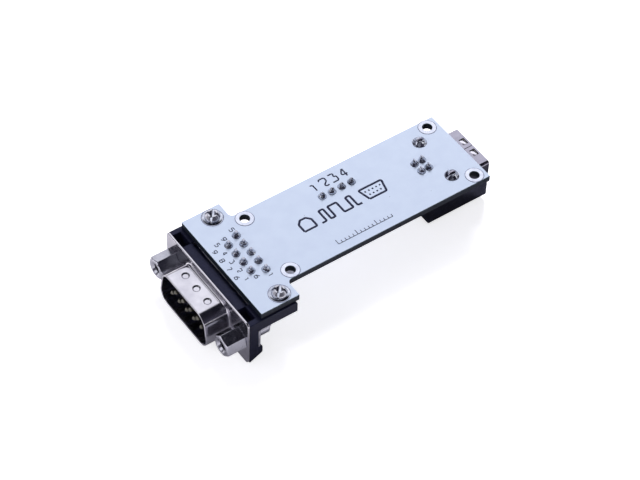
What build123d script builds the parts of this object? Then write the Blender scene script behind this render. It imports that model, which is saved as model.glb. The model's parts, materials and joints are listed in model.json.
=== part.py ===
from build123d import *
from math import radians, tan
import os

# A bare adapter board between a USB receptacle and a nine-pin serial plug. It stands on its two
# connectors with the solder side up. +X runs from the serial mouth to the USB mouth, +Y across
# the board. The origin is on the standing surface, midway between the mouths. All sizes in mm.

# Circuit board
board_length = 62.3
board_width = 21.0
board_thickness = 1.6
head_length = 9.4
head_side_inset = 0.4
neck_corner_radius = 1.1
mount_hole_diameter = 2.3
mount_ring_diameter = 4.0
mount_to_usb_edge = 2.7
mount_to_serial_edge = 11.6
mount_to_side = 2.0
land_thickness = 0.05
lead_hole_clearance = 0.3
lead_stub = 1.3

# Serial plug: front shell
flange_height = 12.5
flange_thickness = 0.5
flange_corner = 1.0
flange_to_board_edge = 3.6
screw_to_flange_end = 2.905
screw_to_plug = 3.635
plug_reach = 5.9
plug_inner_width = 16.92
plug_inner_height = 8.36
plug_slant = 10.0
plug_corner = 2.4
plug_wall = 0.4
plug_root_radius = 0.6
dimple_count = 3
dimple_pitch = 4.15
dimple_setback = 3.4
dimple_depth = 0.4
dimple_floor_radius = 0.45
dimple_mouth_radius = 0.95

# Serial plug: insulator, contacts and their places on the board
plug_axis_below_board = 5.7
insulator_clearance = 0.05
insulator_proud = 0.4
insulator_block_depth = 2.5
insulator_block_inset = 0.15
insulator_block_lift = 0.8
insulator_shelf_depth = 3.9
insulator_shelf_drop = 1.5
insulator_edge_chamfer = 0.3
contact_pitch = 2.77
contact_row_pitch = 2.84
contact_diameter = 1.0
contact_setback = 0.6
contact_tip_taper = 0.3
contact_shoulder = 0.35
contact_lead_side = 0.6
contact_bend_radius = 1.0
board_edge_to_near_row = 4.66

# Screw locks, their clinch nuts, brackets, ground straps and boardlocks
screw_diameter = 2.84
screw_clearance = 0.16
screwlock_flats = 4.76
screwlock_length = 4.8
screwlock_chamfer = 0.7
screwlock_thread_bore = 2.3
screwlock_thread_depth = 4.0
screwlock_countersink = 3.5
screwlock_turns = {"left": -18.0, "right": 19.0}
clinch_nut_diameter = 3.8
clinch_nut_length = 3.2
clinch_nut_chamfer = 0.25
screw_end_recess = 0.4
bracket_leg = 2.2
bracket_width = 5.1
bracket_arm_length = 9.7
bracket_arm_thickness = 2.9
bracket_arm_chamfer = 0.5
bracket_foot_depth = 1.05
bracket_foot_lift = 1.65
bracket_foot_height = 2.1
bracket_foot_radius = 0.5
bracket_rim = 1.3
bracket_pocket_depth = 2.6
strap_thickness = 0.5
strap_side_gap = 0.05
strap_bend_radius = 0.3
strap_shoulder = 2.6
strap_shoulder_inset = 1.1
strap_past_boardlock = 2.4
boardlock_shank_diameter = 3.0
boardlock_bore_diameter = 1.5
boardlock_head_diameter = 3.8
boardlock_head_height = 0.45
boardlock_clearance = 0.1
boardlock_hole_diameter = 3.2
boardlock_slot = 0.5
boardlock_barb_diameter = 3.45
boardlock_tip_diameter = 2.3
boardlock_tip_height = 1.45
boardlock_barb_height = 0.45
boardlock_barb_lift = 0.1
boardlock_land_diameter = 4.9

# USB receptacle
usb_overhang = 3.5
usb_width = 12.0
usb_height = 10.8
usb_length = 15.6
usb_wall = 0.35
usb_corner_radius = 0.7
usb_seat_gap = 0.1
usb_seam = 0.12
usb_window_width = 1.8
usb_window_length = 1.3
usb_window_spacing = 3.8
usb_window_setback = 0.45
usb_spring_drop = 0.2
usb_spring_side_gap = 0.2
usb_spring_tip_gap = 0.2
usb_spring_root = 0.2
usb_spring_thickness = 0.22
usb_spring_pocket = 0.8
usb_leg_setback = 10.29
usb_leg_width = 2.0
usb_leg_hole_diameter = 2.3
usb_back_slot = 2.4
usb_body_clearance = 0.06
usb_body_to_back = 3.3
usb_cavity_width = 8.45
usb_cavity_height = 7.78
usb_cavity_depth = 9.0
usb_cavity_corner = 2.0
usb_lip_setback = 0.3
usb_tongue_width = 5.6
usb_tongue_height = 3.2
usb_tongue_recess = 0.8
usb_tongue_chamfer = 0.35
usb_pin_pitch_y = 2.5
usb_pin_pitch_x = 2.0
usb_pin_to_back = 0.6
usb_strip_width = 0.9
usb_strip_thickness = 0.3
usb_strip_end_margin = 0.8

# Pin header
header_pitch = 2.54
header_pins_count = 4
header_to_bridge = 1.28
header_side = 4.57
header_body_width = 2.5
header_body_height = 2.54
header_body_chamfer = 0.4
header_pin_side = 0.64
header_pin_reach = 6.0
header_pin_taper = 0.2

# Solder joints
joint_foot_diameter = 1.92
joint_height = 1.0
joint_waist = 0.35
joint_cap_margin = 0.14
leg_joint_diameter = 3.3
leg_joint_cap_diameter = 2.3
leg_joint_height = 1.0
lock_joint_height = 0.6
lock_joint_margin = 0.25

# Chips on the hidden side
chip_standoff = 0.1
chip_draft = 8.0
chip_foot = 0.5
chip_knee = 0.25
chip_pin_mark_radius = 0.4
chip_pin_mark_depth = 0.12
bridge_width = 5.3
bridge_length = 10.2
bridge_height = 1.75
bridge_span = 7.8
bridge_pitch = 0.65
bridge_lead_count = 14
bridge_lead_width = 0.3
bridge_lead_thickness = 0.15
bridge_to_fuse = 0.6
driver_width = 3.9
driver_length = 9.9
driver_height = 1.5
driver_span = 6.0
driver_pitch = 1.27
driver_lead_count = 8
driver_lead_width = 0.42
driver_lead_thickness = 0.2

# Chip capacitors, resistors, lamps and the resettable fuse
chip_part_length = 1.6
chip_part_width = 0.8
capacitor_height = 0.8
resistor_height = 0.45
lamp_base_height = 0.3
lamp_lens_height = 0.45
lamp_lens_length = 1.0
lamp_lens_draft = 12.0
terminal_length = 0.3
terminal_thickness = 0.04
fuse_length = 3.2
fuse_width = 1.6
fuse_height = 0.8
fuse_terminal_length = 0.5
pump_capacitor_gap = 1.5
pump_capacitor_pitch = 2.6
pump_capacitor_count = 4
bypass_capacitor_gap = 1.6
fuse_to_receptacle = 1.2
supply_capacitor_spacing = 13.6
resistor_to_bridge = 1.1
resistor_to_side = 2.9
resistor_pitch = 1.9
lamp_gap = 1.4

# Widths that follow the plug
plug_outer_width = plug_inner_width + 2 * plug_wall
plug_outer_height = plug_inner_height + 2 * plug_wall
screw_y = plug_outer_width / 2 + screw_to_plug
flange_width = 2 * (screw_y + screw_to_flange_end)
insulator_block_half_width = flange_width / 2 - bracket_width
head_width = flange_width - 2 * head_side_inset

# Heights
plug_axis_z = flange_height / 2
board_bottom = plug_axis_z + plug_axis_below_board
board_top = board_bottom + board_thickness
usb_top = board_bottom - usb_seat_gap
usb_axis_z = usb_top - usb_height / 2
upper_row_z = plug_axis_z + contact_row_pitch / 4
lower_row_z = plug_axis_z - contact_row_pitch / 4
arm_bottom = board_bottom - bracket_arm_thickness
strap_bottom = arm_bottom - strap_thickness

# Places along the length
overall_length = plug_reach + flange_to_board_edge + board_length + usb_overhang
plug_mouth_x = -overall_length / 2
usb_mouth_x = overall_length / 2
flange_x = plug_mouth_x + plug_reach
flange_back_x = flange_x + flange_thickness
board_start_x = flange_x + flange_to_board_edge
board_end_x = board_start_x + board_length
near_row_x = board_start_x + board_edge_to_near_row
far_row_x = near_row_x + contact_row_pitch
boardlock_x = near_row_x + contact_row_pitch / 2
bracket_back_x = flange_back_x + bracket_leg
bracket_end_x = bracket_back_x + bracket_arm_length
strap_back_x = bracket_back_x + strap_thickness
mount_usb_x = board_end_x - mount_to_usb_edge
mount_serial_x = board_start_x + mount_to_serial_edge
usb_back_x = usb_mouth_x - usb_length
usb_rear_pin_x = usb_back_x + usb_pin_to_back
usb_front_pin_x = usb_rear_pin_x + usb_pin_pitch_x
usb_leg_x = usb_mouth_x - usb_leg_setback
usb_body_back_x = usb_back_x + usb_body_to_back
usb_body_front_x = usb_mouth_x - usb_lip_setback

# The row of parts on the hidden side, from the receptacle back to the plug
fuse_x = usb_back_x - fuse_to_receptacle - fuse_width / 2
bridge_x = fuse_x - fuse_width / 2 - bridge_to_fuse - bridge_span / 2
bridge_start_x = bridge_x - bridge_span / 2
header_x = bridge_start_x - header_to_bridge - (header_pins_count - 0.5) * header_pitch
header_start_x = header_x - header_pitch / 2
plug_leads_end_x = far_row_x + contact_lead_side / 2
pump_setback = driver_span / 2 + pump_capacitor_gap
driver_x = (plug_leads_end_x + header_start_x - pump_setback - chip_part_width / 2 + driver_span / 2) / 2
pump_x = driver_x + pump_setback

# Places of the holes on the board
mount_y = board_width / 2 - mount_to_side
contact_hole = contact_lead_side * 2 ** 0.5 + lead_hole_clearance / 2
usb_pin_hole = usb_strip_width + lead_hole_clearance / 2
header_hole = header_pin_side * 2 ** 0.5 + lead_hole_clearance / 2
sides = {"left": 1, "right": -1}
near_row = [(near_row_x, (i - 1.5) * contact_pitch) for i in range(4)]
far_row = [(far_row_x, (i - 2) * contact_pitch) for i in range(5)]
boardlock_places = [(boardlock_x, side * screw_y) for side in sides.values()]
mount_places = [
    (x, side * mount_y)
    for x in (mount_serial_x, mount_usb_x)
    for side in sides.values()
]
usb_pin_places = [
    (x, side * usb_pin_pitch_y / 2)
    for x in (usb_rear_pin_x, usb_front_pin_x)
    for side in sides.values()
]
usb_leg_y = usb_width / 2 - usb_wall / 2
usb_leg_places = [(usb_leg_x, side * usb_leg_y) for side in sides.values()]
header_places = [(header_x + i * header_pitch, header_side) for i in range(header_pins_count)]

os.makedirs("parts", exist_ok=True)


def save(piece, name):
    """Label a finished piece and write it to its own file."""
    piece.part.label = name
    export_step(piece.part, f"parts/{name}.step")


def crosswise(x, y=0.0, z=plug_axis_z):
    """A plane across the board at x, with its own x along +Y and its own y upwards."""
    return Plane(origin=(x, y, z), x_dir=(0, 1, 0), z_dir=(1, 0, 0))


def plug_outline(plane, width, height, corner):
    """The D of the serial plug: wide side down, sides leaning in, four round corners."""
    base_angle = 90 - plug_slant
    base = width + 2 * corner * (1 / tan(radians(base_angle / 2)) - 1)
    with BuildSketch(plane) as outline:
        Trapezoid(base, height, base_angle)
        fillet(outline.vertices(), corner)
    return outline.sketch


# Circuit board: one routed plate with every hole drilled through it
with BuildPart() as circuit_board:
    with BuildSketch(Plane.XY.offset(board_bottom)) as board_outline:
        with Locations((board_start_x, 0)):
            Rectangle(board_length, board_width, align=(Align.MIN, Align.CENTER))
            Rectangle(head_length, head_width, align=(Align.MIN, Align.CENTER))
        neck_corners = board_outline.vertices().group_by(Axis.X)[1].sort_by(Axis.Y)[1:3]
        fillet(neck_corners, neck_corner_radius)
    extrude(amount=board_thickness)
    with BuildSketch(Plane.XY.offset(board_top)):
        with Locations(*mount_places):
            Circle(mount_hole_diameter / 2)
        with Locations(*near_row, *far_row):
            Circle(contact_hole / 2)
        with Locations(*boardlock_places):
            Circle(boardlock_hole_diameter / 2)
        with Locations(*usb_pin_places):
            Circle(usb_pin_hole / 2)
        with Locations(*usb_leg_places):
            Circle(usb_leg_hole_diameter / 2)
        with Locations(*header_places):
            Circle(header_hole / 2)
    extrude(amount=-board_thickness, mode=Mode.SUBTRACT)
save(circuit_board, "circuit_board")

# Bare metal rings round the mounting holes
with BuildPart() as mounting_rings:
    with BuildSketch(Plane.XY.offset(board_top)):
        with Locations(*mount_places):
            Circle(mount_ring_diameter / 2)
            Circle(mount_hole_diameter / 2, mode=Mode.SUBTRACT)
    extrude(amount=land_thickness)
save(mounting_rings, "mounting_rings")

# Front shell of the serial plug: a flange with the D drawn out of it, one sheet thick all round
with BuildPart() as serial_front_shell:
    with BuildSketch(crosswise(flange_x)):
        RectangleRounded(flange_width, flange_height, flange_corner)
    extrude(amount=flange_thickness)
    drawn = plug_outline(
        crosswise(flange_x), plug_outer_width, plug_outer_height, plug_corner + plug_wall
    )
    extrude(drawn, -plug_reach)
    flange_front = serial_front_shell.faces().filter_by(Plane.YZ).sort_by(Axis.X)[1]
    fillet(flange_front.inner_wires().edges(), plug_root_radius)
    hollow = plug_outline(crosswise(flange_back_x), plug_inner_width, plug_inner_height, plug_corner)
    extrude(hollow, -(plug_reach + flange_thickness), mode=Mode.SUBTRACT)
    flange_rear = serial_front_shell.faces().filter_by(Plane.YZ).sort_by(Axis.X)[-1]
    fillet(flange_rear.inner_wires().edges(), plug_root_radius + plug_wall)
    with BuildSketch(crosswise(flange_x)):
        with GridLocations(2 * screw_y, 0, 2, 1):
            Circle((screw_diameter + screw_clearance) / 2)
    extrude(amount=flange_thickness, mode=Mode.SUBTRACT)
    dimple_x = plug_mouth_x + dimple_setback
    dimple_places = [(dimple_x, (i - (dimple_count - 1) / 2) * dimple_pitch) for i in range(dimple_count)]
    dimple_top = plug_axis_z + plug_outer_height / 2
    with Locations(*[(x, y, dimple_top - plug_wall) for x, y in dimple_places]):
        Cone(
            dimple_floor_radius + plug_wall / 2,
            dimple_mouth_radius + plug_wall / 2,
            dimple_depth,
            align=(Align.CENTER, Align.CENTER, Align.MAX),
        )
    with Locations(*[(x, y, dimple_top) for x, y in dimple_places]):
        Cone(
            dimple_floor_radius,
            dimple_mouth_radius,
            dimple_depth,
            align=(Align.CENTER, Align.CENTER, Align.MAX),
            mode=Mode.SUBTRACT,
        )
save(serial_front_shell, "serial_front_shell")

# Insulator: a D boss that fills the root of the shell, on a block between the brackets. The
# block steps down to a shelf that runs under the board's edge and steadies the leads.
contact_rows = [(upper_row_z, near_row), (lower_row_z, far_row)]
block_top = board_bottom - insulator_block_inset
block_back_x = flange_back_x + insulator_block_depth
shelf_back_x = flange_back_x + insulator_shelf_depth
shelf_top = board_bottom - insulator_shelf_drop
boss_front_x = flange_x - insulator_proud
with BuildPart() as serial_insulator:
    with BuildSketch(Plane.XZ) as block_outline:
        with BuildLine():
            Polyline(
                (flange_back_x, insulator_block_lift),
                (shelf_back_x, insulator_block_lift),
                (shelf_back_x, shelf_top),
                (block_back_x, shelf_top),
                (block_back_x, block_top),
                (flange_back_x, block_top),
                close=True,
            )
        make_face()
        rear_corners = block_outline.vertices().group_by(Axis.X)[-1]
        chamfer(rear_corners, insulator_edge_chamfer)
    extrude(amount=insulator_block_half_width, both=True)
    boss = plug_outline(
        crosswise(flange_back_x),
        plug_inner_width - 2 * insulator_clearance,
        plug_inner_height - 2 * insulator_clearance,
        plug_corner - insulator_clearance,
    )
    extrude(boss, boss_front_x - flange_back_x)
    with BuildSketch(crosswise(boss_front_x)):
        for row_z, row in contact_rows:
            with Locations(*[(y, row_z - plug_axis_z) for _, y in row]):
                Circle(contact_diameter / 2)
    extrude(amount=shelf_back_x - boss_front_x, mode=Mode.SUBTRACT)
save(serial_insulator, "serial_insulator")

# Contacts: a round pin in the plug, and a square lead that bends up through the board.
# Pins 1 to 5 are the wide row, whose leads reach the row further from the plug.
contact_tip_x = plug_mouth_x + contact_setback
contact_end_x = shelf_back_x + contact_shoulder
contact_top = board_top + lead_stub


def make_contact(number, lead_x, y, z):
    with BuildPart() as contact:
        with BuildSketch(crosswise(contact_tip_x, y, z)):
            Circle(contact_diameter / 2)
        extrude(amount=contact_end_x - contact_tip_x)
        chamfer(contact.edges().sort_by(Axis.X)[0], contact_tip_taper)
        with BuildLine(Plane.XZ.offset(-y)) as lead_path:
            FilletPolyline(
                (contact_end_x, z),
                (lead_x, z),
                (lead_x, contact_top),
                radius=contact_bend_radius,
            )
        with BuildSketch(crosswise(contact_end_x, y, z)):
            Rectangle(contact_lead_side, contact_lead_side)
        sweep(path=lead_path.wire())
    save(contact, f"serial_contact_{number}")
    return contact.part


serial_contacts = []
for i, (x, y) in enumerate(far_row):
    serial_contacts.append(make_contact(i + 1, x, y, lower_row_z))
for i, (x, y) in enumerate(near_row):
    serial_contacts.append(make_contact(i + 6, x, y, upper_row_z))


def make_screwlock(name, side, turn):
    """A hexagonal post with a tapped front end, on a stud that goes back into the clinch nut.
    Each post stops at its own turn, in degrees, when it is tightened."""
    front_x = flange_x - screwlock_length
    stud_end_x = strap_back_x + clinch_nut_length - screw_end_recess
    rim_radius = screwlock_flats / 2 / (3 ** 0.5 / 2)
    with BuildPart() as screwlock:
        with BuildSketch(crosswise(flange_x, side * screw_y)):
            RegularPolygon(screwlock_flats / 2, 6, major_radius=False, rotation=turn)
        extrude(amount=-screwlock_length)
        with BuildSketch(Plane.XY.offset(plug_axis_z)):
            with BuildLine():
                Polyline(
                    (front_x, side * screw_y),
                    (front_x, side * (screw_y + rim_radius - screwlock_chamfer)),
                    (front_x + screwlock_chamfer / 2, side * (screw_y + rim_radius)),
                    (flange_x, side * (screw_y + rim_radius)),
                    (flange_x, side * screw_y),
                    close=True,
                )
            make_face()
        revolve(axis=Axis((0, side * screw_y, plug_axis_z), (1, 0, 0)), mode=Mode.INTERSECT)
        with BuildSketch(crosswise(flange_x, side * screw_y)):
            Circle(screw_diameter / 2)
        extrude(amount=stud_end_x - flange_x)
        with BuildSketch(crosswise(front_x, side * screw_y)):
            Circle(screwlock_thread_bore / 2)
        extrude(amount=screwlock_thread_depth, mode=Mode.SUBTRACT)
        front_edges = screwlock.edges().filter_by(GeomType.CIRCLE).group_by(Axis.X)[0]
        chamfer(front_edges.sort_by(SortBy.RADIUS)[0], (screwlock_countersink - screwlock_thread_bore) / 2)
        chamfer(screwlock.edges().sort_by(Axis.X)[-1], clinch_nut_chamfer)
    save(screwlock, name)


def make_clinch_nut(name, side):
    """A round threaded bush behind the ground strap."""
    with BuildPart() as clinch_nut:
        with BuildSketch(crosswise(strap_back_x, side * screw_y)):
            Circle(clinch_nut_diameter / 2)
            Circle(screw_diameter / 2, mode=Mode.SUBTRACT)
        extrude(amount=clinch_nut_length)
        rims = clinch_nut.edges().filter_by(GeomType.CIRCLE).group_by(SortBy.RADIUS)[-1]
        chamfer(rims, clinch_nut_chamfer)
    save(clinch_nut, name)


def make_bracket(name, side):
    """A moulded L: a leg behind the flange, an arm under the board and a hooked foot."""
    foot_x = bracket_back_x + bracket_foot_depth
    foot_top = bracket_foot_lift + bracket_foot_height
    with BuildPart() as bracket:
        with BuildSketch(Plane.XZ.offset(-side * insulator_block_half_width)) as outline:
            with BuildLine():
                Polyline(
                    (flange_back_x, 0),
                    (foot_x, bracket_foot_lift),
                    (foot_x, foot_top),
                    (bracket_back_x, foot_top),
                    (bracket_back_x, arm_bottom),
                    (bracket_end_x, arm_bottom),
                    (bracket_end_x, board_bottom - bracket_arm_chamfer),
                    (bracket_end_x - bracket_arm_chamfer, board_bottom),
                    (flange_back_x, board_bottom),
                    close=True,
                )
            make_face()
            foot_corners = outline.vertices().group_by(Axis.X)[2]
            fillet(foot_corners, bracket_foot_radius)
        extrude(amount=-side * bracket_width)
        with BuildSketch(Plane.XY.offset(board_bottom)):
            with Locations((flange_back_x, side * insulator_block_half_width)):
                Rectangle(
                    bracket_leg,
                    bracket_width - bracket_rim,
                    align=(Align.MIN, Align.MIN if side > 0 else Align.MAX),
                )
        extrude(amount=-bracket_pocket_depth, mode=Mode.SUBTRACT)
        with BuildSketch(crosswise(flange_back_x, side * screw_y)):
            Circle((screw_diameter + screw_clearance) / 2)
        extrude(amount=bracket_leg, mode=Mode.SUBTRACT)
        with BuildSketch(Plane.XY.offset(board_bottom)):
            with Locations((boardlock_x, side * screw_y)):
                Circle((boardlock_shank_diameter + boardlock_clearance) / 2)
        extrude(amount=-bracket_arm_thickness, mode=Mode.SUBTRACT)
    save(bracket, name)


def make_ground_strap(name, side):
    """A bent strip, as wide as the bracket round its bend, that joins the clinch nut at the
    flange to the boardlock under the arm."""
    strap_foot = bracket_foot_lift + bracket_foot_height
    strap_end_x = boardlock_x + strap_past_boardlock
    strap_inner_y = insulator_block_half_width + strap_side_gap
    strap_outer_y = flange_width / 2 - strap_side_gap
    with BuildPart() as strap:
        with BuildSketch(Plane.XZ.offset(-side * strap_inner_y)) as outline:
            with BuildLine():
                Polyline(
                    (bracket_back_x, strap_foot),
                    (strap_back_x, strap_foot),
                    (strap_back_x, strap_bottom),
                    (strap_end_x, strap_bottom),
                    (strap_end_x, arm_bottom),
                    (bracket_back_x, arm_bottom),
                    close=True,
                )
            make_face()
            inner_bend = outline.vertices().sort_by_distance((strap_back_x, strap_bottom, 0))[0]
            fillet(inner_bend, strap_bend_radius)
            outer_bend = outline.vertices().sort_by_distance((bracket_back_x, arm_bottom, 0))[0]
            fillet(outer_bend, strap_bend_radius + strap_thickness)
        extrude(amount=-side * (strap_outer_y - strap_inner_y))
        with BuildSketch(Plane.XY.offset(arm_bottom)):
            with Locations((strap_back_x + strap_shoulder, side * strap_outer_y)):
                Rectangle(
                    strap_end_x - strap_back_x - strap_shoulder,
                    strap_shoulder_inset,
                    align=(Align.MIN, Align.MAX if side > 0 else Align.MIN),
                )
        extrude(amount=-strap_thickness, mode=Mode.SUBTRACT)
        with BuildSketch(crosswise(bracket_back_x, side * screw_y)):
            Circle((screw_diameter + screw_clearance) / 2)
        extrude(amount=strap_thickness, mode=Mode.SUBTRACT)
        with BuildSketch(Plane.XY.offset(arm_bottom)):
            with Locations((boardlock_x, side * screw_y)):
                Circle((boardlock_shank_diameter + boardlock_clearance) / 2)
        extrude(amount=-strap_thickness, mode=Mode.SUBTRACT)
    save(strap, name)


def make_boardlock(name, side):
    """A split rivet: head under the strap, shank up through arm and board, four barbed prongs."""
    head_bottom = strap_bottom - boardlock_head_height
    shank_radius = boardlock_shank_diameter / 2
    barb_bottom = board_top + boardlock_barb_lift
    tip_top = board_top + boardlock_tip_height
    with BuildPart() as boardlock:
        with BuildSketch(Plane.XZ) as outline:
            with BuildLine():
                Polyline(
                    (boardlock_bore_diameter / 2, head_bottom),
                    (boardlock_head_diameter / 2, head_bottom),
                    (boardlock_head_diameter / 2, strap_bottom),
                    (shank_radius, strap_bottom),
                    (shank_radius, barb_bottom),
                    (boardlock_barb_diameter / 2, barb_bottom + boardlock_barb_height / 2),
                    (boardlock_barb_diameter / 2, barb_bottom + boardlock_barb_height),
                    (boardlock_tip_diameter / 2, tip_top),
                    (boardlock_bore_diameter / 2, tip_top),
                    close=True,
                )
            make_face()
        revolve(axis=Axis.Z)
        with BuildSketch(Plane.XY.offset(tip_top)):
            Rectangle(boardlock_barb_diameter, boardlock_slot)
            Rectangle(boardlock_slot, boardlock_barb_diameter)
        extrude(amount=arm_bottom - tip_top, mode=Mode.SUBTRACT)
    placed = boardlock.part.moved(Location((boardlock_x, side * screw_y, 0), (0, 0, 45)))
    with BuildPart() as placed_boardlock:
        add(placed)
    save(placed_boardlock, name)


for side_name, side in sides.items():
    make_screwlock(f"screwlock_{side_name}", side, screwlock_turns[side_name])
    make_clinch_nut(f"clinch_nut_{side_name}", side)
    make_bracket(f"serial_bracket_{side_name}", side)
    make_ground_strap(f"ground_strap_{side_name}", side)
    make_boardlock(f"boardlock_{side_name}", side)

# USB shell: sheet folded into a sleeve with a butt seam on the board side, a closed back,
# two spring windows near the mouth and two legs that go through the board
with BuildPart() as usb_shell:
    with BuildSketch(crosswise(usb_back_x, 0, usb_axis_z)):
        RectangleRounded(usb_width, usb_height, usb_corner_radius)
    extrude(amount=usb_length)
    with BuildSketch(crosswise(usb_back_x + usb_wall, 0, usb_axis_z)):
        RectangleRounded(
            usb_width - 2 * usb_wall,
            usb_height - 2 * usb_wall,
            usb_corner_radius - usb_wall,
        )
    extrude(amount=usb_length - usb_wall, mode=Mode.SUBTRACT)
    with BuildSketch(Plane.XY.offset(usb_top)):
        with Locations((usb_back_x, 0)):
            Rectangle(usb_length, usb_seam, align=(Align.MIN, Align.CENTER))
        with Locations((usb_back_x, 0)):
            Rectangle(
                usb_body_back_x - usb_back_x,
                usb_width - 2 * usb_corner_radius,
                align=(Align.MIN, Align.CENTER),
            )
        with Locations((usb_mouth_x - usb_window_setback, 0)):
            with GridLocations(0, usb_window_spacing, 1, 2):
                Rectangle(usb_window_length, usb_window_width, align=(Align.MAX, Align.CENTER))
    extrude(amount=-usb_wall, mode=Mode.SUBTRACT)
    with BuildSketch(Plane.XY.offset(usb_top)):
        with Locations((usb_back_x, 0)):
            Rectangle(
                usb_wall,
                usb_width - 2 * usb_corner_radius,
                align=(Align.MIN, Align.CENTER),
            )
    extrude(amount=-usb_back_slot, mode=Mode.SUBTRACT)
    with BuildSketch(Plane.XY.offset(usb_axis_z)):
        with Locations(*usb_leg_places):
            Rectangle(usb_leg_width, usb_wall)
    extrude(amount=board_top + lead_stub - usb_axis_z)
    window_front_x = usb_mouth_x - usb_window_setback
    window_back_x = window_front_x - usb_window_length
    for side in sides.values():
        window_y = side * usb_window_spacing / 2
        with BuildSketch(Plane.XZ.offset(-window_y)):
            with BuildLine():
                Line(
                    (window_back_x - usb_spring_root, usb_top - usb_wall / 2),
                    (window_front_x - usb_spring_tip_gap, usb_top - usb_wall / 2 - usb_spring_drop),
                )
            trace(line_width=usb_spring_thickness)
        extrude(amount=usb_window_width / 2 - usb_spring_side_gap, both=True)
    leg_tips = usb_shell.faces().group_by(Axis.Z)[-1].edges().filter_by(Axis.Y)
    chamfer(leg_tips, usb_leg_width / 5)
save(usb_shell, "usb_shell")

# Contacts of the USB receptacle: flat strips on the tongue that run back and turn up to the
# board. The pair below the tongue takes the rear holes, the pair above it the front holes.
tongue_tip_x = usb_body_front_x - usb_tongue_recess
strip_mid = usb_tongue_height / 2 - usb_strip_thickness / 2
strip_start_x = tongue_tip_x - usb_strip_end_margin


def make_usb_contact(number, lead_x, y, z):
    with BuildPart() as contact:
        with BuildLine(Plane.XZ.offset(-y)) as strip_path:
            FilletPolyline(
                (strip_start_x, z),
                (lead_x, z),
                (lead_x, board_top + lead_stub),
                radius=usb_strip_thickness,
            )
        with BuildSketch(crosswise(strip_start_x, y, z)):
            Rectangle(usb_strip_width, usb_strip_thickness)
        sweep(path=strip_path.wire())
    save(contact, f"usb_contact_{number}")
    return contact.part


usb_contacts = []
for i, (x, y) in enumerate(usb_pin_places):
    level = -strip_mid if x == usb_rear_pin_x else strip_mid
    usb_contacts.append(make_usb_contact(i + 1, x, y, usb_axis_z + level))

# USB body: a block with the plug's cavity in it and a tongue in the cavity. The cavity's two
# cut corners are on the side away from the board.
body_width = usb_width - 2 * usb_wall - 2 * usb_body_clearance
body_height = usb_height - 2 * usb_wall - 2 * usb_body_clearance
with BuildPart() as usb_body:
    with BuildSketch(crosswise(usb_body_front_x, 0, usb_axis_z)):
        RectangleRounded(body_width, body_height, usb_corner_radius - usb_wall)
    extrude(amount=usb_body_back_x - usb_body_front_x)
    with BuildSketch(crosswise(usb_body_front_x, 0, usb_axis_z)) as cavity:
        Rectangle(usb_cavity_width, usb_cavity_height)
        chamfer(cavity.vertices().group_by(Axis.Y)[0], usb_cavity_corner)
    extrude(amount=-usb_cavity_depth, mode=Mode.SUBTRACT)
    with BuildSketch(crosswise(usb_body_front_x - usb_cavity_depth, 0, usb_axis_z)):
        Rectangle(usb_tongue_width, usb_tongue_height)
    extrude(amount=usb_cavity_depth - usb_tongue_recess)
    tongue_tip = usb_body.faces().filter_by(Plane.YZ).sort_by(Axis.X)[-2]
    chamfer(tongue_tip.edges(), usb_tongue_chamfer)
    with BuildSketch(Plane.XY.offset(usb_top - usb_wall)):
        with Locations((usb_mouth_x - usb_window_setback, 0)):
            with GridLocations(0, usb_window_spacing, 1, 2):
                Rectangle(usb_window_length, usb_window_width, align=(Align.MAX, Align.CENTER))
    extrude(amount=-usb_spring_pocket, mode=Mode.SUBTRACT)
    for strip in usb_contacts:
        add(strip, mode=Mode.SUBTRACT)
save(usb_body, "usb_body")

# Pin header on the hidden side: a moulded bar and square pins pressed through it
with BuildPart() as header_base:
    with BuildSketch(Plane.XY.offset(board_bottom)) as bar:
        with Locations((header_x + (header_pins_count - 1) * header_pitch / 2, header_side)):
            Rectangle(header_pins_count * header_pitch, header_body_width)
        chamfer(bar.vertices(), header_body_chamfer)
    extrude(amount=-header_body_height)
    with BuildSketch(Plane.XY.offset(board_bottom)):
        with Locations(*header_places):
            Rectangle(header_pin_side, header_pin_side)
    extrude(amount=-header_body_height, mode=Mode.SUBTRACT)
save(header_base, "header_base")

header_pin_bottom = board_bottom - header_body_height - header_pin_reach
header_pin_length = board_top + lead_stub - header_pin_bottom
header_pins = []
for i, (x, y) in enumerate(header_places):
    with BuildPart() as header_pin:
        with BuildSketch(Plane.XY.offset(header_pin_bottom)):
            with Locations((x, y)):
                Rectangle(header_pin_side, header_pin_side)
        extrude(amount=header_pin_length)
        pin_ends = header_pin.faces().filter_by(Plane.XY).edges()
        chamfer(pin_ends, header_pin_taper)
    save(header_pin, f"header_pin_{i + 1}")
    header_pins.append(header_pin.part)


def make_solder(name, places, foot, waist, cap, height, leads):
    """Solder on its lands: a foot as thick as the land, two cones, hollowed by the leads."""
    with BuildPart() as cone:
        with BuildSketch(Plane.XZ):
            with BuildLine():
                Polyline(
                    (0, 0),
                    (foot / 2, 0),
                    (foot / 2, land_thickness),
                    (waist / 2, height * joint_waist),
                    (cap / 2, height),
                    (0, height),
                    close=True,
                )
            make_face()
        revolve(axis=Axis.Z)
    with BuildPart() as solder:
        with Locations(*[(x, y, board_top) for x, y in places]):
            add(cone.part)
        for lead in leads:
            add(lead, mode=Mode.SUBTRACT)
    save(solder, name)


contact_cap = contact_lead_side * 2 ** 0.5 + joint_cap_margin
usb_cap = usb_strip_width + 2 * joint_cap_margin
header_cap = header_pin_side * 2 ** 0.5 + joint_cap_margin


def waist_of(foot, cap):
    return cap + (foot - cap) * joint_waist


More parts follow.
